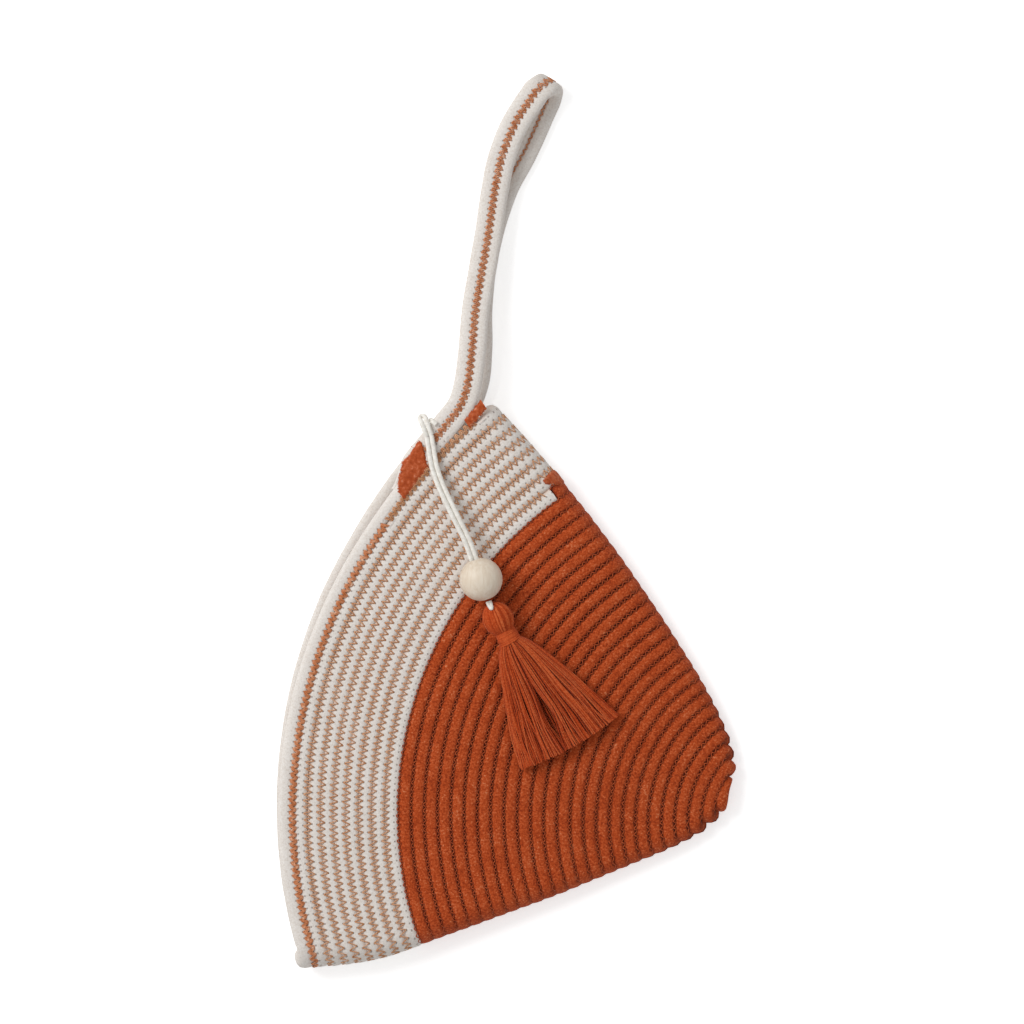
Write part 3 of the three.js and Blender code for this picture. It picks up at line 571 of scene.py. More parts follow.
def mouth_turn(row):
    """The front, the fold and the back of one of the mouth's last rows, as far as the strap's root."""
    return (panel_run(row, MOUTH_TURN_END, fold_at(row, "plain"), "front")
            + fold_run(row, "plain") + back_row(row, MOUTH_TURN_END))


def heading_vector(heading):
    return np.array([math.cos(math.radians(heading)), math.sin(math.radians(heading)), 0])


def across_of(along):
    return np.stack([along[..., 1], -along[..., 0], np.zeros(along.shape[:-1])], axis=-1)


def lengths_of(points):
    """How far along a line each of its points lies."""
    steps = np.linalg.norm(np.diff(points, axis=0), axis=1)
    return np.concatenate([[0], np.cumsum(steps)])


def sampled(values, lengths, wanted):
    """Values at stations along a line, read off at other lengths along it."""
    values = np.asarray(values)
    return np.stack([np.interp(wanted, lengths, values[:, k]) for k in range(values.shape[1])], 1)


def resampled(points, count):
    lengths = lengths_of(points)
    return sampled(points, lengths, np.linspace(0, lengths[-1], count))


def smooth_line(points, count):
    """A smooth curve through points, as stations at equal lengths along it."""
    points = [np.asarray(p, float) for p in points]
    points = [2 * points[0] - points[1], *points, 2 * points[-1] - points[-2]]
    dense = []
    for i in range(1, len(points) - 2):
        p0, p1, p2, p3 = points[i - 1:i + 3]
        t0 = 0.0
        t1 = t0 + np.linalg.norm(p1 - p0) ** 0.5
        t2 = t1 + np.linalg.norm(p2 - p1) ** 0.5
        t3 = t2 + np.linalg.norm(p3 - p2) ** 0.5
        for t in np.linspace(t1, t2, 40, endpoint=False):
            a1 = (t1 - t) / (t1 - t0) * p0 + (t - t0) / (t1 - t0) * p1
            a2 = (t2 - t) / (t2 - t1) * p1 + (t - t1) / (t2 - t1) * p2
            a3 = (t3 - t) / (t3 - t2) * p2 + (t - t2) / (t3 - t2) * p3
            b1 = (t2 - t) / (t2 - t0) * a1 + (t - t0) / (t2 - t0) * a2
            b2 = (t3 - t) / (t3 - t1) * a2 + (t - t1) / (t3 - t1) * a3
            dense.append((t2 - t) / (t2 - t1) * b1 + (t - t1) / (t2 - t1) * b2)
    dense.append(points[-2])
    return resampled(np.array(dense), count)


def strap_leg(points, panel):
    """The seam between the strap's ropes on one leg: its points, and the directions across and out."""
    root = []
    for angle in (ROOT_ANGLE + ROOT_RUN, ROOT_ANGLE):
        back_seam = LAST_ROW - 0.5 + BACK_SET + step_out(LAST_ROW, angle)
        root.append(panel_point(LAST_ROW + 0.5 if panel == "front" else back_seam, angle, panel))
    heading = heading_vector(STRAP_BEND_HEADING)
    bend = np.array([*STRAP_BEND_AT, 0.0])
    if panel == "back":
        bend = bend + STRAP_BEND_SHIFT * across_of(heading)
        points = points[::-1]
    plan = [np.array([x, y, 0]) for x, y in [p[:2] for p in root] + points] + [bend]
    line = smooth_line(plan, LEG_STEPS + 1)
    along = np.gradient(line, axis=0)
    along[-1] = heading
    across = across_of(unit(along))
    lengths = lengths_of(line)
    if panel == "back":
        line[:, 2] = BACK_LEVEL
        return line, across, np.tile(DOWN, (len(line), 1))
    share = np.clip((lengths - HINGE_DISTANCE) / (lengths[-1] - HINGE_DISTANCE), 0, 1)
    plane = front_level(line[:, 0], line[:, 1])
    top = BACK_LEVEL + 2 * STRAP_BEND_RADIUS
    line[:, 2] = plane + (top - plane) * ease(share) - FRONT_LEG_SAG * np.sin(math.pi * share) ** 2
    return line, across, np.tile(UP, (len(line), 1))


def strap_bend(steps=16):
    along = heading_vector(STRAP_BEND_HEADING)
    across = across_of(along)
    centre = np.array([*STRAP_BEND_AT, BACK_LEVEL + STRAP_BEND_RADIUS])
    turns = math.pi * np.arange(1, steps) / steps
    outs = along * np.sin(turns)[:, None] + UP * np.cos(turns)[:, None]
    aside = across * (STRAP_BEND_SHIFT * np.arange(1, steps) / steps)[:, None]
    return centre + outs * STRAP_BEND_RADIUS + aside, np.tile(across, (steps - 1, 1)), outs


def beside(leg, side):
    """Stations of the rope on one side of the strap's seam: 1 is the inner rope, -1 the outer one."""
    line, across, outs = leg
    return list(zip(line + across * side * ROW_PITCH / 2, outs))


def stretch(stations, start, end=math.inf):
    """The part of a run of stations between two lengths along it."""
    points, outs = (np.array(values) for values in zip(*stations))
    lengths = lengths_of(points)
    end = min(end, lengths[-1])
    inside = lengths[(lengths > start) & (lengths < end)]
    wanted = np.concatenate([[start], inside, [end]])
    return list(zip(sampled(points, lengths, wanted), unit(sampled(outs, lengths, wanted))))


front_leg = strap_leg(FRONT_LEG, "front")
back_leg = strap_leg(BACK_LEG, "back")
inner_front, outer_front = beside(front_leg, 1), beside(front_leg, -1)
inner_back, outer_back = beside(back_leg, 1), beside(back_leg, -1)
tie_point = stretch(outer_front, TIE_DISTANCE)[0][0]


def to_frame(points):
    """Points in millimetres about the side edges' meeting point, in metres in the part's frame."""
    return (np.asarray(points, float) - BAG_MIDDLE) * MM


# Making tubes

def tube(name, runs, radius, sides, material, body, radii=None):
    """One mesh of round tubes, closed at their ends, along runs of points in millimetres."""
    curve = bpy.data.curves.new(name, "CURVE")
    curve.dimensions = "3D"
    curve.fill_mode = "FULL"
    curve.bevel_depth = radius * MM
    curve.bevel_resolution = sides // 2 - 2
    for index, run in enumerate(runs):
        points = to_frame(run)
        spline = curve.splines.new("POLY")
        spline.points.add(len(points) - 1)
        spline.points.foreach_set("co", np.c_[points, np.ones(len(points))].ravel())
        if radii is not None:
            spline.points.foreach_set("radius", np.asarray(radii[index], float))
    line = bpy.data.objects.new(name + "_line", curve)
    bpy.context.scene.collection.objects.link(line)
    graph = bpy.context.evaluated_depsgraph_get()
    made = bpy.data.meshes.new_from_object(line.evaluated_get(graph))
    bpy.data.objects.remove(line)
    bpy.data.curves.remove(curve)
    shape = bmesh.new()
    shape.from_mesh(made)
    ends = [edge for edge in shape.edges if len(edge.link_faces) == 1]
    for face in shape.faces:
        face.smooth = True
    bmesh.ops.holes_fill(shape, edges=ends, sides=sides)
    for edge in ends:
        edge.smooth = False
    bmesh.ops.recalc_face_normals(shape, faces=shape.faces)
    shape.to_mesh(made)
    shape.free()
    return add_piece(name, made, material, body)


def add_piece(name, made, material, body):
    """A finished mesh as a piece of the object, riding on a body of the part."""
    made.name = name
    made.materials.clear()
    made.materials.append(material)
    piece = bpy.data.objects.new(name, made)
    bpy.context.scene.collection.objects.link(piece)
    if body:
        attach(piece, body)
    return piece


def vertex_places(piece):
    places = np.zeros(len(piece.data.vertices) * 3)
    piece.data.vertices.foreach_get("co", places)
    return places.reshape(-1, 3)


def paint(piece, name, values):
    """Keeps a value for each vertex, which a material reads."""
    attribute = piece.data.attributes.new(name, "FLOAT", "POINT")
    attribute.data.foreach_set("value", np.asarray(values, np.float32))


def rope(name, stations, material, body, outer_phase, inner_phase, radii=None, swell=0.0):
    """A rope with the places of its needle holes, from the phases of the seams on both its sides. A
    phase of UNSEWN marks a side that isn't sewn there."""
    points, outs = (np.array(values) for values in zip(*stations))
    if radii is None:
        radii = np.ones(len(points))
    off_tip = ease((np.hypot(points[:, 0], points[:, 1]) - SWELL_START) / SWELL_RISE)
    swollen = swell * off_tip * (outs[:, 0] ** 2 + outs[:, 1] ** 2)
    points = points - outs * (swollen * ROPE_HALF_THICKNESS)[:, None]
    lengths = lengths_of(points)
    uneven = 0.012 * np.sin(lengths / 7.3) + 0.01 * np.sin(lengths / 3.1 + 1)
    piece = tube(name, [points], 1.0, ROPE_SIDES, material, body)
    places = vertex_places(piece)
    ring = np.arange(len(places)) // ROPE_SIDES
    along = unit(np.gradient(points, axis=0))
    across = unit(np.cross(along, outs))
    outs = np.cross(across, along)
    away = places / MM + BAG_MIDDLE - points[ring]
    aside, up = (away * across[ring]).sum(1), (away * outs[ring]).sum(1)
    angle = np.arctan2(aside, up)
    outer_ring, inner_ring = np.asarray(outer_phase)[ring], np.asarray(inner_phase)[ring]
    sewn = np.where(angle > 0, outer_ring != UNSEWN, inner_ring != UNSEWN)
    wide, high = (value * (radii + swollen + uneven)[ring] for value in rope_section(angle))
    # Painted shade: the valley mask, which darkens a sewn side towards its seam in the material, less at the
    # side folds
    sunk = np.clip(1 - (ROW_PITCH / 2 - np.abs(wide)) / VALLEY_SHADE_WIDTH, 0, 1)
    folded = (outs[:, 0] ** 2 + outs[:, 1] ** 2)[ring]
    paint(piece, "valley", sunk * sewn * (1 - OPEN_AT_FOLDS * folded))
    paint(piece, "around", np.sign(angle) * np.interp(np.abs(angle), SECTION_ANGLES, SECTION_LENGTHS))
    paint(piece, "outer_phase", outer_ring)
    paint(piece, "inner_phase", inner_ring)
    places = to_frame(points[ring] + across[ring] * wide[:, None] + outs[ring] * high[:, None])
    places[:, 2] = np.maximum(places[:, 2], FLATTENED_AT * MM)
    piece.data.vertices.foreach_set("co", places.ravel())
    return piece


# The coil's stations, turn by turn. The same station of two turns lies on both sides of one seam.
turns = [whole_turn(row) for row in range(LAST_ROW)]
PER_TURN = len(turns[0])
START_STEPS = 4  # stations of the tip's first fold that the rust rope starts with
SPLICE_STEPS = 1  # stations before the front, where the rust rope ends and the white one starts
coil = [station for turn in turns for station in turn]
coil_points, coil_outs = (np.array(values) for values in zip(*coil))
coil_seam = ((coil_points[PER_TURN:] + coil_points[:-PER_TURN]) / 2,
             unit(coil_points[PER_TURN:] - coil_points[:-PER_TURN]),
             unit(coil_outs[PER_TURN:] + coil_outs[:-PER_TURN]))
coil_phase = lengths_of(coil_seam[0]) / STITCH_PITCH
strap_arc = strap_bend()
strap_seam = tuple(np.concatenate([front, arc, back[::-1]])
                   for front, arc, back in zip(front_leg, strap_arc, back_leg))


def run_seam(stations):
    """A seam along a run of stations of its own, with the direction across it."""
    points, outs = (np.array(values) for values in zip(*stations))
    return points, unit(np.cross(unit(np.gradient(points, axis=0)), outs)), outs


rim_seam = run_seam(mouth_turn(LAST_ROW - 0.5))
corner_seam = run_seam(panel_run(LAST_ROW - 0.5, CORNER_SEAM_END, MOUTH_TURN_END, "front"))


def middle_line(stations):
    return np.array([point for point, _ in stations])


def unsewn(count):
    return np.full(count, UNSEWN)


def phases_beside(stations, seams, start=0.0):
    """Where each station of a rope lies along the seam beside it, in zigzags. Away from every seam, and
    before a seam's start, it stays between two needle holes."""
    points = middle_line(stations)
    phase = unsewn(len(points))
    for line, shift in seams:
        total = lengths_of(line[0])[-1]
        count = int(total / SEAM_SAMPLE)
        dense = resampled(line[0], count)
        gaps = [np.linalg.norm(dense - point, axis=1) for point in points]
        near = np.array([gap.argmin() for gap in gaps])
        beside_it = np.array([gap.min() for gap in gaps]) < ROW_PITCH * BESIDE_SEAM
        here = near * total / (count - 1)
        phase = np.where(beside_it & (here >= start), here / STITCH_PITCH + shift, phase)
    return phase


def zigzag(seam, start=0.0, end=math.inf, reach=STITCH_REACH, thickness=THREAD_RADIUS, offset=0.0, sunk=0.0):
    """The thread of a zigzag seam: hole, up, straight over the valley between two ropes, down, hole."""
    points, across, outs = seam
    lengths = lengths_of(points)
    end = min(end, lengths[-1])
    first = math.ceil(start / (STITCH_PITCH / 2))
    last = int(end / (STITCH_PITCH / 2)) - 1
    wanted = (np.arange(first, last + 1) + offset) * STITCH_PITCH / 2
    middle = sampled(points, lengths, wanted)
    side = unit(sampled(across, lengths, wanted))
    out = unit(sampled(outs, lengths, wanted))
    level = rope_top(ROW_PITCH / 2 - reach) - sunk * (out[:, :1] ** 2 + out[:, 1:2] ** 2)
    sign = np.where(np.arange(first, last + 1) % 2 == 0, -1.0, 1.0)[:, None]
    wander = rng.normal(0, STITCH_UNEVEN, (len(wanted), 1))
    holes = middle + side * (sign * reach + wander) + out * (level - HOLE_DEPTH)
    lifted = out * (level + thickness * STITCH_LIFT)
    tops = middle + side * (sign * reach * STITCH_SHOULDER + wander) + lifted
    step = np.diff(middle, axis=0)
    line = np.empty((3 * len(wanted) - 2, 3))
    line[0::3] = holes
    line[1::3] = tops[:-1] + step * STITCH_TURN
    line[2::3] = tops[1:] - step * STITCH_TURN
    line[:, 2] = np.maximum(line[:, 2], thickness + FLATTENED_AT)
    return line


# The bag's ropes
splice = RUST_TURNS * PER_TURN - SPLICE_STEPS
last_turn = (LAST_ROW - 1) * PER_TURN
blank = unsewn(PER_TURN)
coil_outer = np.concatenate([coil_phase, blank])
coil_inner = np.concatenate([blank, coil_phase + 0.5])


def make_coiled_ropes():
    start = fold_run(0, "strap")[-START_STEPS:]
    start_phase = unsewn(START_STEPS)
    stations = start + coil[:splice + 1]
    taper = START_SIZE + (1 - START_SIZE) * ease(lengths_of(middle_line(stations)) / START_TAPER)
    rust = rope("rust_coil", stations, rust_cotton, "bag",
                np.concatenate([start_phase, coil_outer[:splice + 1]]),
                np.concatenate([start_phase, coil_inner[:splice + 1]]), taper, FOLD_SWELL)
    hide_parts("rust_rope")
    last = LAST_ROW - 1
    ending = front_row(last) + fold_run(last, "plain") + back_row(last, MOUTH_TURN_END)
    root = stretch(inner_back, 0, HINGE_DISTANCE)
    white = rope("white_coil", coil[splice:last_turn] + ending + root, white_cotton, "bag",
                 np.concatenate([coil_outer[splice:last_turn],
                                 phases_beside(ending, [(corner_seam, 0), (rim_seam, 0)]),
                                 phases_beside(root, [(strap_seam, 0)])]),
                 np.concatenate([coil_inner[splice:last_turn + len(ending)], unsewn(len(root))]),
                 swell=FOLD_SWELL)
    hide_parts("white_rope")


def make_rim():
    front_root = stretch(inner_front, 0, HINGE_DISTANCE)[::-1]
    back_root = stretch(outer_back, 0, HINGE_DISTANCE)
    turn = mouth_turn(LAST_ROW)
    stations = front_root + turn + back_root
    outer = np.concatenate([phases_beside(front_root, [(strap_seam, 0)], STRAP_SEAM_START),
                            unsewn(len(turn) + len(back_root))])
    inner = np.concatenate([phases_beside(front_root, [(corner_seam, 0.5)]),
                            phases_beside(turn, [(rim_seam, 0.5)]),
                            phases_beside(back_root, [(strap_seam, 0.5)])])
    rim = rope("rim_coil", stations, white_cotton, "bag", outer, inner, swell=FOLD_SWELL)
    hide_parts("rim_rope")
    tail = stretch(outer_front, TAIL_START, HINGE_DISTANCE)
    taper = TAIL_SIZE + (1 - TAIL_SIZE) * ease(lengths_of(middle_line(tail)) / TAIL_TAPER)
    tucked = [(point + across_of(unit(np.array([1.0, 1.2, 0]))) * (1 - size) * ROPE_HALF_WIDTH, out)
              for (point, out), size in zip(tail, taper)]
    end = rope("strap_tail", tucked[::-1], white_cotton, "bag", unsewn(len(tail)),
               phases_beside(tail[::-1], [(strap_seam, 0.5)], STRAP_SEAM_START), taper[::-1])
    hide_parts("strap_end_rope")


def bends_with_strap(piece):
    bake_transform(piece)


def make_strap():
    for name, side, front, back in (("inner", 1, inner_front, inner_back),
                                    ("outer", -1, outer_front, outer_back)):
        arc = [(point + across * side * ROW_PITCH / 2, out) for point, across, out in zip(*strap_arc)]
        stations = stretch(front, HINGE_DISTANCE) + arc + stretch(back, HINGE_DISTANCE)[::-1]
        beside_seam = phases_beside(stations, [(strap_seam, 0.5 if side > 0 else 0)])
        away = unsewn(len(stations))
        outer, inner = (away, beside_seam) if side > 0 else (beside_seam, away)
        piece = rope(f"strap_{name}", stations, white_cotton, None, outer, inner)
        bends_with_strap(piece)
        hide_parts(f"strap_{name}_front_bend", f"strap_{name}_rope", f"strap_{name}_back_bend")
    points, across, outs = strap_seam
    passes = [zigzag(strap_seam, STRAP_SEAM_START, reach=reach, thickness=BRIGHT_THREAD_RADIUS, offset=offset)
              for offset, reach in ((0, STITCH_REACH), (0.55, STITCH_REACH * 0.8))]
    inside = zigzag((points, across, -outs), STRAP_SEAM_START, reach=RUST_REACH)
    thread = tube("strap_thread", [*passes, inside], BRIGHT_THREAD_RADIUS, 4, bright_thread, None)
    bends_with_strap(thread)


def make_seams():
    splice_seam = (RUST_TURNS - 1) * PER_TURN
    last_seam = (LAST_ROW - 2) * PER_TURN + PER_TURN - FOLD_TURN_STEPS - PANEL_STEPS // 4
    half = splice_seam // 2
    rust_runs = ((0, half), (half, splice_seam + PER_TURN))
    seam_lengths = lengths_of(coil_seam[0])
    for index, (start, end) in enumerate(rust_runs):
        line = zigzag(coil_seam, seam_lengths[start], seam_lengths[end], RUST_REACH, RUST_THREAD_RADIUS,
                      sunk=SUNK_AT_FOLDS)
        piece = tube(f"rust_seam_{index + 1}", [line], RUST_THREAD_RADIUS, 4, rust_thread, "bag")
    line = zigzag(coil_seam, seam_lengths[splice_seam + PER_TURN], seam_lengths[last_seam],
                  sunk=SUNK_AT_FOLDS)
    corner = [zigzag(corner_seam, offset=offset) for offset in (0, 0.5)]
    tan = tube("white_seams", [line, *corner], THREAD_RADIUS, 4, tan_thread, "bag")
    passes = [zigzag(rim_seam, reach=STITCH_REACH * reach, thickness=BRIGHT_THREAD_RADIUS, offset=offset,
                     sunk=SUNK_AT_FOLDS) for offset, reach in ((0, 1), (0.6, 0.75), (0.3, 0.9))]
    rim = tube("rim_seam", passes, BRIGHT_THREAD_RADIUS, 4, bright_thread, "bag")


# Satin stitches

def satin_patch():
    """Satin stitches over the end of the last rope and the rim beside it, wider at one side."""
    line, across, _ = front_leg
    lengths = lengths_of(line)
    runs = []
    for at in np.arange(PATCH_BOTTOM, PATCH_TOP, SATIN_SPACING):
        left = np.interp(at, *zip(*PATCH_LEFT)) + rng.normal(0, PATCH_UNEVEN)
        right = np.interp(at, *zip(*PATCH_RIGHT)) + rng.normal(0, PATCH_UNEVEN)
        if right - left < 1:
            continue
        places = np.linspace(left, right, SATIN_POINTS)
        over_left = np.sqrt(np.maximum(SATIN_RISE ** 2 - (places + ROW_PITCH / 2) ** 2, 1))
        over_right = SATIN_RISE - 0.17 * (places - ROW_PITCH / 2)
        rise = np.where(places > ROW_PITCH / 2, over_right, SATIN_RISE)
        rise = np.where(places < -ROW_PITCH / 2, over_left, rise)
        rise[0] -= 0.5
        rise[-1] -= 0.7
        middle, side = (sampled(values, lengths, [at])[0] for values in (line, across))
        runs.append(middle + unit(side) * places[:, None] + PANEL_NORMAL * rise[:, None])
    piece = tube("satin_patch", runs, SATIN_RADIUS, 4, satin_thread, "bag")
    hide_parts("rim_patch")


def splice_patch():
    """Satin stitches at the side fold over the row beside the place where the white rope starts."""
    stations = fold_run(RUST_TURNS + 1, "strap")[-SPLICE_PATCH_STEPS:]
    points, across, outs = run_seam(stations)
    lengths = lengths_of(points)
    runs = []
    for at in np.arange(0, lengths[-1], SATIN_SPACING):
        low = np.interp(at / lengths[-1], *zip(*SPLICE_PATCH_LOW)) + rng.normal(0, SPLICE_UNEVEN)
        high = np.interp(at / lengths[-1], *zip(*SPLICE_PATCH_HIGH)) + rng.normal(0, SPLICE_UNEVEN)
        places = np.linspace(low, high, SATIN_POINTS)
        rise = SATIN_RISE - 0.1 * np.maximum(places, 0) ** 2
        rise[[0, -1]] -= STITCH_END_DIP
        middle, side, out = (sampled(values, lengths, [at])[0] for values in (points, across, outs))
        runs.append(middle + unit(side) * places[:, None] + unit(out) * rise[:, None])
    piece = tube("splice_patch", runs, SATIN_RADIUS, 4, satin_thread, "bag")


def bar_tack():
    """The bar tack that holds the strap's inner rope and the row beside it together."""
    along = unit(heading_vector(BAR_HEADING) - PANEL_NORMAL * (heading_vector(BAR_HEADING) @ PANEL_NORMAL))
    across = np.cross(PANEL_NORMAL, along)
    middle = np.array([*BAR_AT, front_level(*BAR_AT)])
    runs = []
    for at in np.arange(-BAR_LENGTH / 2, BAR_LENGTH / 2, SATIN_SPACING):
        half = BAR_WIDTH / 2 + rng.normal(0, BAR_UNEVEN)
        places = np.linspace(-half, half, 7)
        rise = SATIN_RISE + 0.25 - 0.06 * places ** 2
        rise[[0, -1]] -= STITCH_END_DIP
        start = middle + along * at + across * rng.normal(0, 0.12)
        aslant = across * places[:, None] + along * places[:, None] * BAR_LEAN
        runs.append(start + aslant + PANEL_NORMAL * rise[:, None])
    piece = tube("bar_tack", runs, SATIN_RADIUS, 4, satin_thread, "bag")
    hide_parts("strap_bar")


# The charm's own frame, as in the CAD: X along the cord, Z away from the panel
charm_x = unit(heading_vector(CHARM_HEADING) - PANEL_NORMAL * (heading_vector(CHARM_HEADING) @ PANEL_NORMAL))
charm_axes = np.array([charm_x, np.cross(PANEL_NORMAL, charm_x), PANEL_NORMAL])
BEAD_LEVEL = ROPE_HALF_HEIGHT + REST_CLEARANCE + BEAD_DIAMETER / 2
TIE_LEVEL = ROPE_DIAMETER / 2 + TIE_CLEARANCE + CORD_DIAMETER / 2
LINK_AT = CORD_LENGTH + BEAD_DIAMETER / 2 + LINK_GAP / 2
HEAD_AT = LINK_GAP + (CORD_SPACING + CORD_DIAMETER) / 2 + HEAD_CLEARANCE
HEAD_REST = ROPE_HALF_HEIGHT + REST_CLEARANCE + HEAD_DIAMETER / 2
HEM_REST = ROPE_HALF_HEIGHT + REST_CLEARANCE + SKIRT_THICKNESS / 2
LEAN = math.asin((HEAD_REST - HEM_REST) / (HEAD_LENGTH / 2 + BINDING_LENGTH + SKIRT_LENGTH))
SKIRT_START = HEAD_LENGTH + BINDING_LENGTH + 2 * BINDING_CLEARANCE


def on_charm(points):
    return tie_point + np.asarray(points, float) @ charm_axes


def on_tassel(points):
    """Places in the tassel's frame, X from the top of its head to its hem, as places on the charm."""
    turn = math.radians(TASSEL_TURN)
    leaned = np.array([[math.cos(LEAN), 0, -math.sin(LEAN)], [0, 1, 0], [math.sin(LEAN), 0, math.cos(LEAN)]])
    turned = np.array([[math.cos(turn), math.sin(turn), 0], [-math.sin(turn), math.cos(turn), 0], [0, 0, 1]])
    start = np.array([HEAD_AT, 0, HEAD_REST + HEAD_LENGTH / 2 * math.sin(LEAN)])
    points = np.asarray(points, float) @ leaned + start
    return on_charm(points @ turned + np.array([LINK_AT, 0, 0]))


def strand_route(side):
    """A strand of the doubled cord, from the tie up to the bead and through it."""
    level_from = CORD_LENGTH - BEAD_DIAMETER / 2 - BEAD_TRAVEL
    end = LINK_AT - LINK_GAP
    along, sway = np.array(CORD_LINE).T
    shares = np.minimum(along / level_from, 1)
    height = TIE_LEVEL + (BEAD_LEVEL - TIE_LEVEL) * shares
    rise = np.c_[TIE_GAP + along, side * CORD_SPACING / 2 - sway, height]
    level = [(x, side * CORD_SPACING / 2, BEAD_LEVEL) for x in (CORD_LENGTH, end)]
    return smooth_line([*rise, *level], 36)


def make_cords(going_along):
    for name, side in (("left", 1), ("right", -1)):
        route = on_charm(strand_route(side))
        piece = tube(f"cord_{name}", [route], SOFT_CORD_RADIUS, CORD_SIDES, cord_cotton, "cord")
        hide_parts(f"cord_strand_{name}")


def make_tie():
    """The doubled end, hooked over the outer rope with its eye just past it, and the turn that the
    cord takes round the rope beside it."""
    half = [(-reach * TIE_REACH, wide * TIE_SPACING / 2, rise * TIE_LEVEL) for reach, wide, rise in TIE_LINE]
    eye = [(-TIE_REACH * 0.97, 0, 0)]
    other = [(x, -y, z) for x, y, z in half[::-1]]
    hook = smooth_line(half + eye + other, 60) - [0, TIE_ASIDE, 0]
    piece = tube("cord_hook", [on_charm(hook)], SOFT_CORD_RADIUS, CORD_SIDES, cord_cotton, "tie")
    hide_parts("cord_tie")
    collar_at = TIE_DISTANCE + COLLAR_ON
    (start, out), (after, _) = stretch(outer_front, collar_at, collar_at + 1)[:2]
    across = across_of(unit(after - start))
    turns = np.radians(np.linspace(COLLAR_FROM, COLLAR_TO, 30))[:, None]
    arc = start + (out * np.sin(turns) - across * np.cos(turns)) * COLLAR_RADIUS
    collar = tube("cord_turn", [arc], SOFT_CORD_RADIUS, CORD_SIDES, cord_cotton, "bag")


def make_loop():
    turn = np.linspace(0, math.pi, 24)
    reach = LOOP_REACH * np.sin(turn)
    lift = LOOP_RISE * ease(reach / LOOP_REACH)
    half = LOOP_HALF_WIDTH * np.cos(turn)
    route = np.c_[reach, half, lift] + [LINK_AT + LINK_GAP, 0, BEAD_LEVEL]
    piece = tube("cord_bight", [on_charm(route)], LOOP_CORD_RADIUS, CORD_SIDES, cord_cotton, "loop")
    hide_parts("tassel_loop")
    return piece


def turned_shape(name, profile, to_place, material, body, steps=48):
    """A shape turned about X: its profile is spun, its doubled seam and poles merged."""
    shape = bmesh.new()
    corners = [shape.verts.new((x, 0, radius)) for x, radius in profile]
    for a, b in zip(corners, corners[1:]):
        shape.edges.new((a, b))
    bmesh.ops.spin(shape, geom=shape.verts[:] + shape.edges[:], cent=(0, 0, 0), axis=(1, 0, 0),
                   angle=2 * math.pi, steps=steps, use_merge=True)
    bmesh.ops.remove_doubles(shape, verts=shape.verts, dist=0.001)
    bmesh.ops.recalc_face_normals(shape, faces=shape.faces)
    for face in shape.faces:
        face.smooth = True
    made = bpy.data.meshes.new(name)
    shape.to_mesh(made)
    shape.free()
    piece = add_piece(name, made, material, None)
    places = to_frame(to_place(vertex_places(piece)))
    piece.data.vertices.foreach_set("co", places.ravel())
    piece.data.update()
    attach(piece, body)
    return piece


def make_bead():
    radius = BEAD_DIAMETER / 2
    bore = BEAD_BORE / 2
    mouth = math.asin((bore + 0.5) / radius)
    ball = [(-radius * math.cos(a), radius * math.sin(a)) for a in np.linspace(mouth, math.pi - mouth, 40)]
    lip = radius * math.cos(mouth)
    end = [(lip - 0.1, bore + 0.22), (lip - 0.4, bore + 0.05), (lip - 0.8, bore)]
    profile = ball + end + [(-x, r) for x, r in end[::-1]] + [ball[0]]
    piece = turned_shape("wooden_bead", profile, lambda p: on_charm(p + [CORD_LENGTH, 0, BEAD_LEVEL]),
                         beech, "bead", 64)
    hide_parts("bead")
    return piece


def head_profile(count):
    """The tassel's round head, from its top to its neck."""
    head, neck = HEAD_DIAMETER / 2, NECK_DIAMETER / 2
    semi = HEAD_LENGTH / (1 + math.sqrt(1 - (neck / head) ** 2))
    angles = np.linspace(0, math.pi - math.asin(neck / head), count)
    return semi * (1 - np.cos(angles)), head * np.sin(angles)


def make_head():
    """Yarn laid over the head from its top down to the binding, on a packed core."""
    along, radius = head_profile(18)
    along = along * (HEAD_LENGTH + HEAD_OVERLAP) / HEAD_LENGTH - HEAD_OVERLAP
    core = [(x, max(r - 0.5, 0)) for x, r in zip(along + 0.3, radius)]
    core += [(SKIRT_START + 4, NECK_DIAMETER / 2 - 0.5), (SKIRT_START + 4, 0)]
    runs, sizes = [], []
    for index in range(HEAD_STRANDS):
        azimuth = 2 * math.pi * index / HEAD_STRANDS + rng.normal(0, 0.02)
        twist = azimuth + HEAD_TWIST * along / HEAD_LENGTH
        size = np.clip(2 * math.pi * radius / HEAD_STRANDS * 0.7, 0.1, 0.5)
        inner = np.maximum(radius - size, 0)
        line = np.c_[along + size * 0.4, inner * np.cos(twist), inner * np.sin(twist)]
        runs.append(on_tassel(line))
        sizes.append(size)
    strands = tube("tassel_head", runs, 1.0, 6, tassel_cotton, "tassel", sizes)
    packed = turned_shape("tassel_core", core, on_tassel, tassel_cotton, "tassel")
    tint_strands(strands, [len(run) for run in runs], 6)
    paint(packed, "tint", np.full(len(packed.data.vertices), 0.3))
    return strands, packed


def tint_strands(piece, counts, sides):
    """Gives each strand its own tone."""
    tones = rng.uniform(0, 1, len(counts))
    paint(piece, "tint", np.repeat(tones, np.array(counts) * sides))


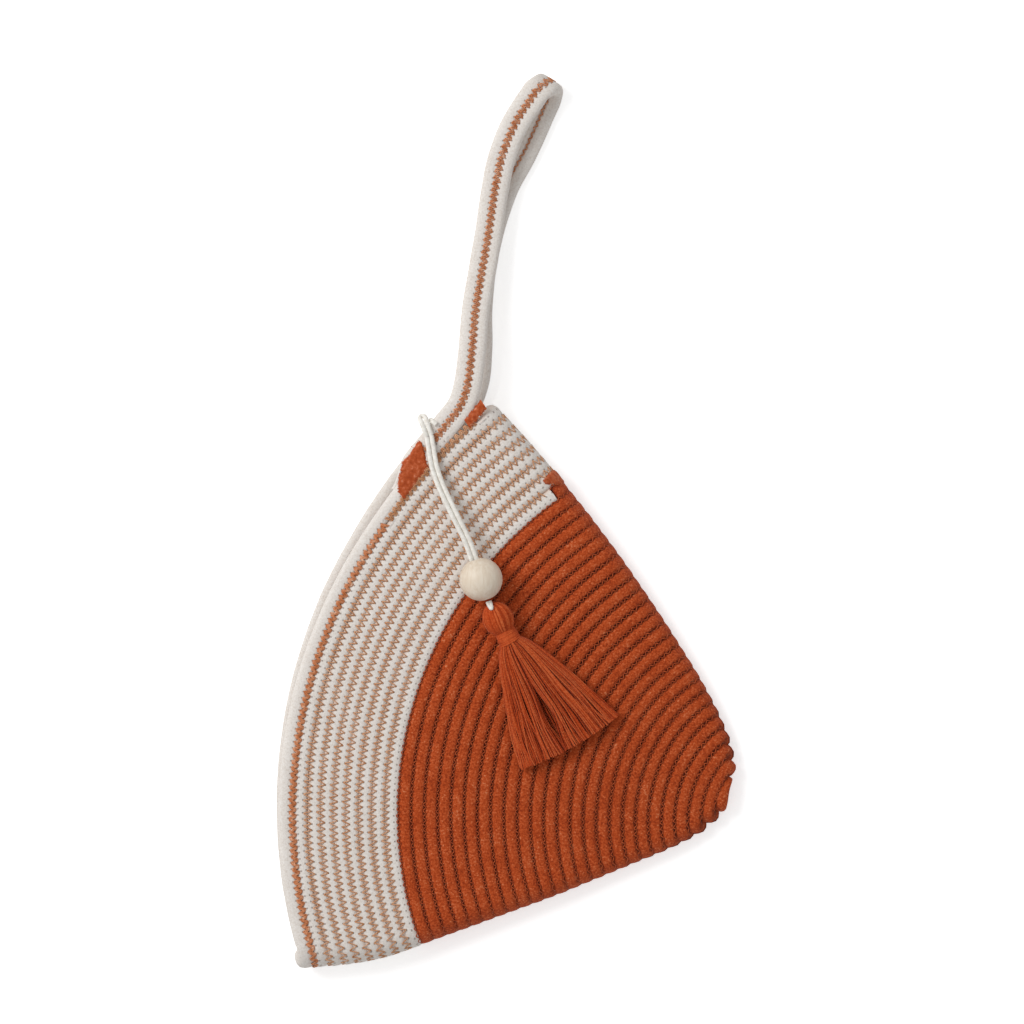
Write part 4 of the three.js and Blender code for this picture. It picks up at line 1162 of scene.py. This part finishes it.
def make_binding():
    steps = np.linspace(0, BINDING_WRAPS, BINDING_WRAPS * WRAP_STEPS)
    shares = steps / BINDING_WRAPS
    loose = np.repeat(rng.normal(0, 0.09, BINDING_WRAPS), WRAP_STEPS)
    radius = NECK_DIAMETER / 2 + SOFT_BINDING_FLARE * shares ** 2 + 0.25 * np.sin(math.pi * shares) + loose
    across = SOFT_BINDING_LENGTH / BINDING_WRAPS
    turn = 2 * math.pi * steps
    along = HEAD_LENGTH - 0.2 + shares * SOFT_BINDING_LENGTH
    line = np.c_[along, radius * np.cos(turn), radius * np.sin(turn)]
    piece = tube("tassel_wrap", [on_tassel(line)], across / 2 * 1.4, 8, binding_thread, "tassel")
    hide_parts("tassel_binding")
    return piece


def make_skirt():
    """The skirt's strands, combed into clumps with gaps between them. The strands underneath stay in
    place there, so that a gap is dark but not empty."""
    shares = np.linspace(0, 1, 14)
    start = HEAD_LENGTH + SOFT_BINDING_LENGTH - 0.8
    whole = SKIRT_START + SKIRT_LENGTH + 0.8 - start
    runs, sizes = [], []
    for _ in range(SKIRT_STRANDS):
        side = rng.uniform(-1, 1)
        level = rng.uniform(-1, 1)
        hem = SKIRT_WIDTH / 2
        width = side * (SKIRT_NECK + (hem - SKIRT_NECK) * shares ** SKIRT_FLARE) + SKIRT_ASIDE * shares
        for middle, wide, at in SKIRT_GAPS:
            opened = np.exp(-((shares - at) / GAP_LENGTH) ** 2) * math.exp(-abs(side - middle) / GAP_REACH)
            if level > 0:
                width = width + math.copysign(wide, side - middle) * opened
        height = level * math.sqrt(max(1 - side ** 2, 0.04))
        neck = NECK_DIAMETER / 2 + SOFT_BINDING_FLARE
        thick = neck * height + (SKIRT_THICKNESS / 2 * height - neck * height) * shares
        waves = rng.normal(0, 1, 2)
        phase = rng.uniform(0, 6.28, 2)
        width = width + shares * (0.6 * waves[0] * np.sin(shares * 8 + phase[0]) + rng.normal(0, 0.5))
        thick = thick + shares * 0.15 * waves[1] * np.sin(shares * 6 + phase[1])
        thick = np.clip(thick, -SKIRT_THICKNESS / 2, neck)
        reach = whole * shares * (1 - SKIRT_ARC * side ** 2) - shares * abs(rng.normal(0, 0.5))
        runs.append(on_tassel(np.c_[start + reach, width, thick]))
        sizes.append(np.full(len(shares), rng.uniform(0.8, 1.15)))
    piece = tube("tassel_skirt", runs, SKIRT_YARN_RADIUS, 4, tassel_cotton, "tassel", sizes)
    tint_strands(piece, [len(shares)] * SKIRT_STRANDS, 4)
    return piece


make_coiled_ropes()
make_rim()
make_strap()
make_seams()
satin_patch()
splice_patch()
bar_tack()
bead_piece = make_bead()
head_piece, core_piece = make_head()
skirt_piece = make_skirt()
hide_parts("tassel_yarn")
make_tie()
make_binding()
make_cords([bead_piece, make_loop()])


# The studio

def seen_directly(tree):
    """1 where the camera, a reflection or clear glass looks at the backdrop, which is white there."""
    path = node(tree, "ShaderNodeLightPath")
    seen = node(tree, "ShaderNodeMath", {0: path.outputs["Is Camera Ray"], 1: path.outputs["Is Glossy Ray"]},
                operation="MAXIMUM").outputs[0]
    return node(tree, "ShaderNodeMath", {0: seen, 1: path.outputs["Is Transmission Ray"]},
                operation="MAXIMUM").outputs[0]


def make_studio():
    """A white floor and even light from above, as on a page of a catalogue."""
    shape = bmesh.new()
    bmesh.ops.create_grid(shape, x_segments=1, y_segments=1, size=FLOOR_SIZE / 2)
    made = bpy.data.meshes.new("floor")
    shape.to_mesh(made)
    shape.free()
    material, tree, shader = new_material("white paper backdrop")
    shader.inputs["Base Color"].default_value = hex_colour("f4f4f4")
    shader.inputs["Roughness"].default_value = 0.9
    glow = node(tree, "ShaderNodeMath", {0: seen_directly(tree), 1: FLOOR_GLOW},
                operation="MULTIPLY").outputs[0]
    shader.inputs["Emission Color"].default_value = (1, 1, 1, 1)
    tree.links.new(glow, shader.inputs["Emission Strength"])
    floor = add_piece("floor", made, material, None)

    world = bpy.data.worlds.new("studio")
    bpy.context.scene.world = world
    world.use_nodes = True
    tree = world.node_tree
    background = tree.nodes["Background"]
    strength = node(tree, "ShaderNodeMapRange", {0: seen_directly(tree), 3: FILL_LIGHT, 4: 1.0}).outputs[0]
    background.inputs["Color"].default_value = (1, 1, 1, 1)
    tree.links.new(strength, background.inputs["Strength"])

    lamp = bpy.data.lights.new("softbox", "AREA")
    lamp.shape = "DISK"
    lamp.size = SOFTBOX_SIZE
    lamp.energy = SOFTBOX_POWER
    softbox = bpy.data.objects.new("softbox", lamp)
    bpy.context.scene.collection.objects.link(softbox)
    softbox.location = SOFTBOX_AT
    softbox.rotation_euler = (-Vector(SOFTBOX_AT)).to_track_quat("-Z", "Y").to_euler()


make_studio()
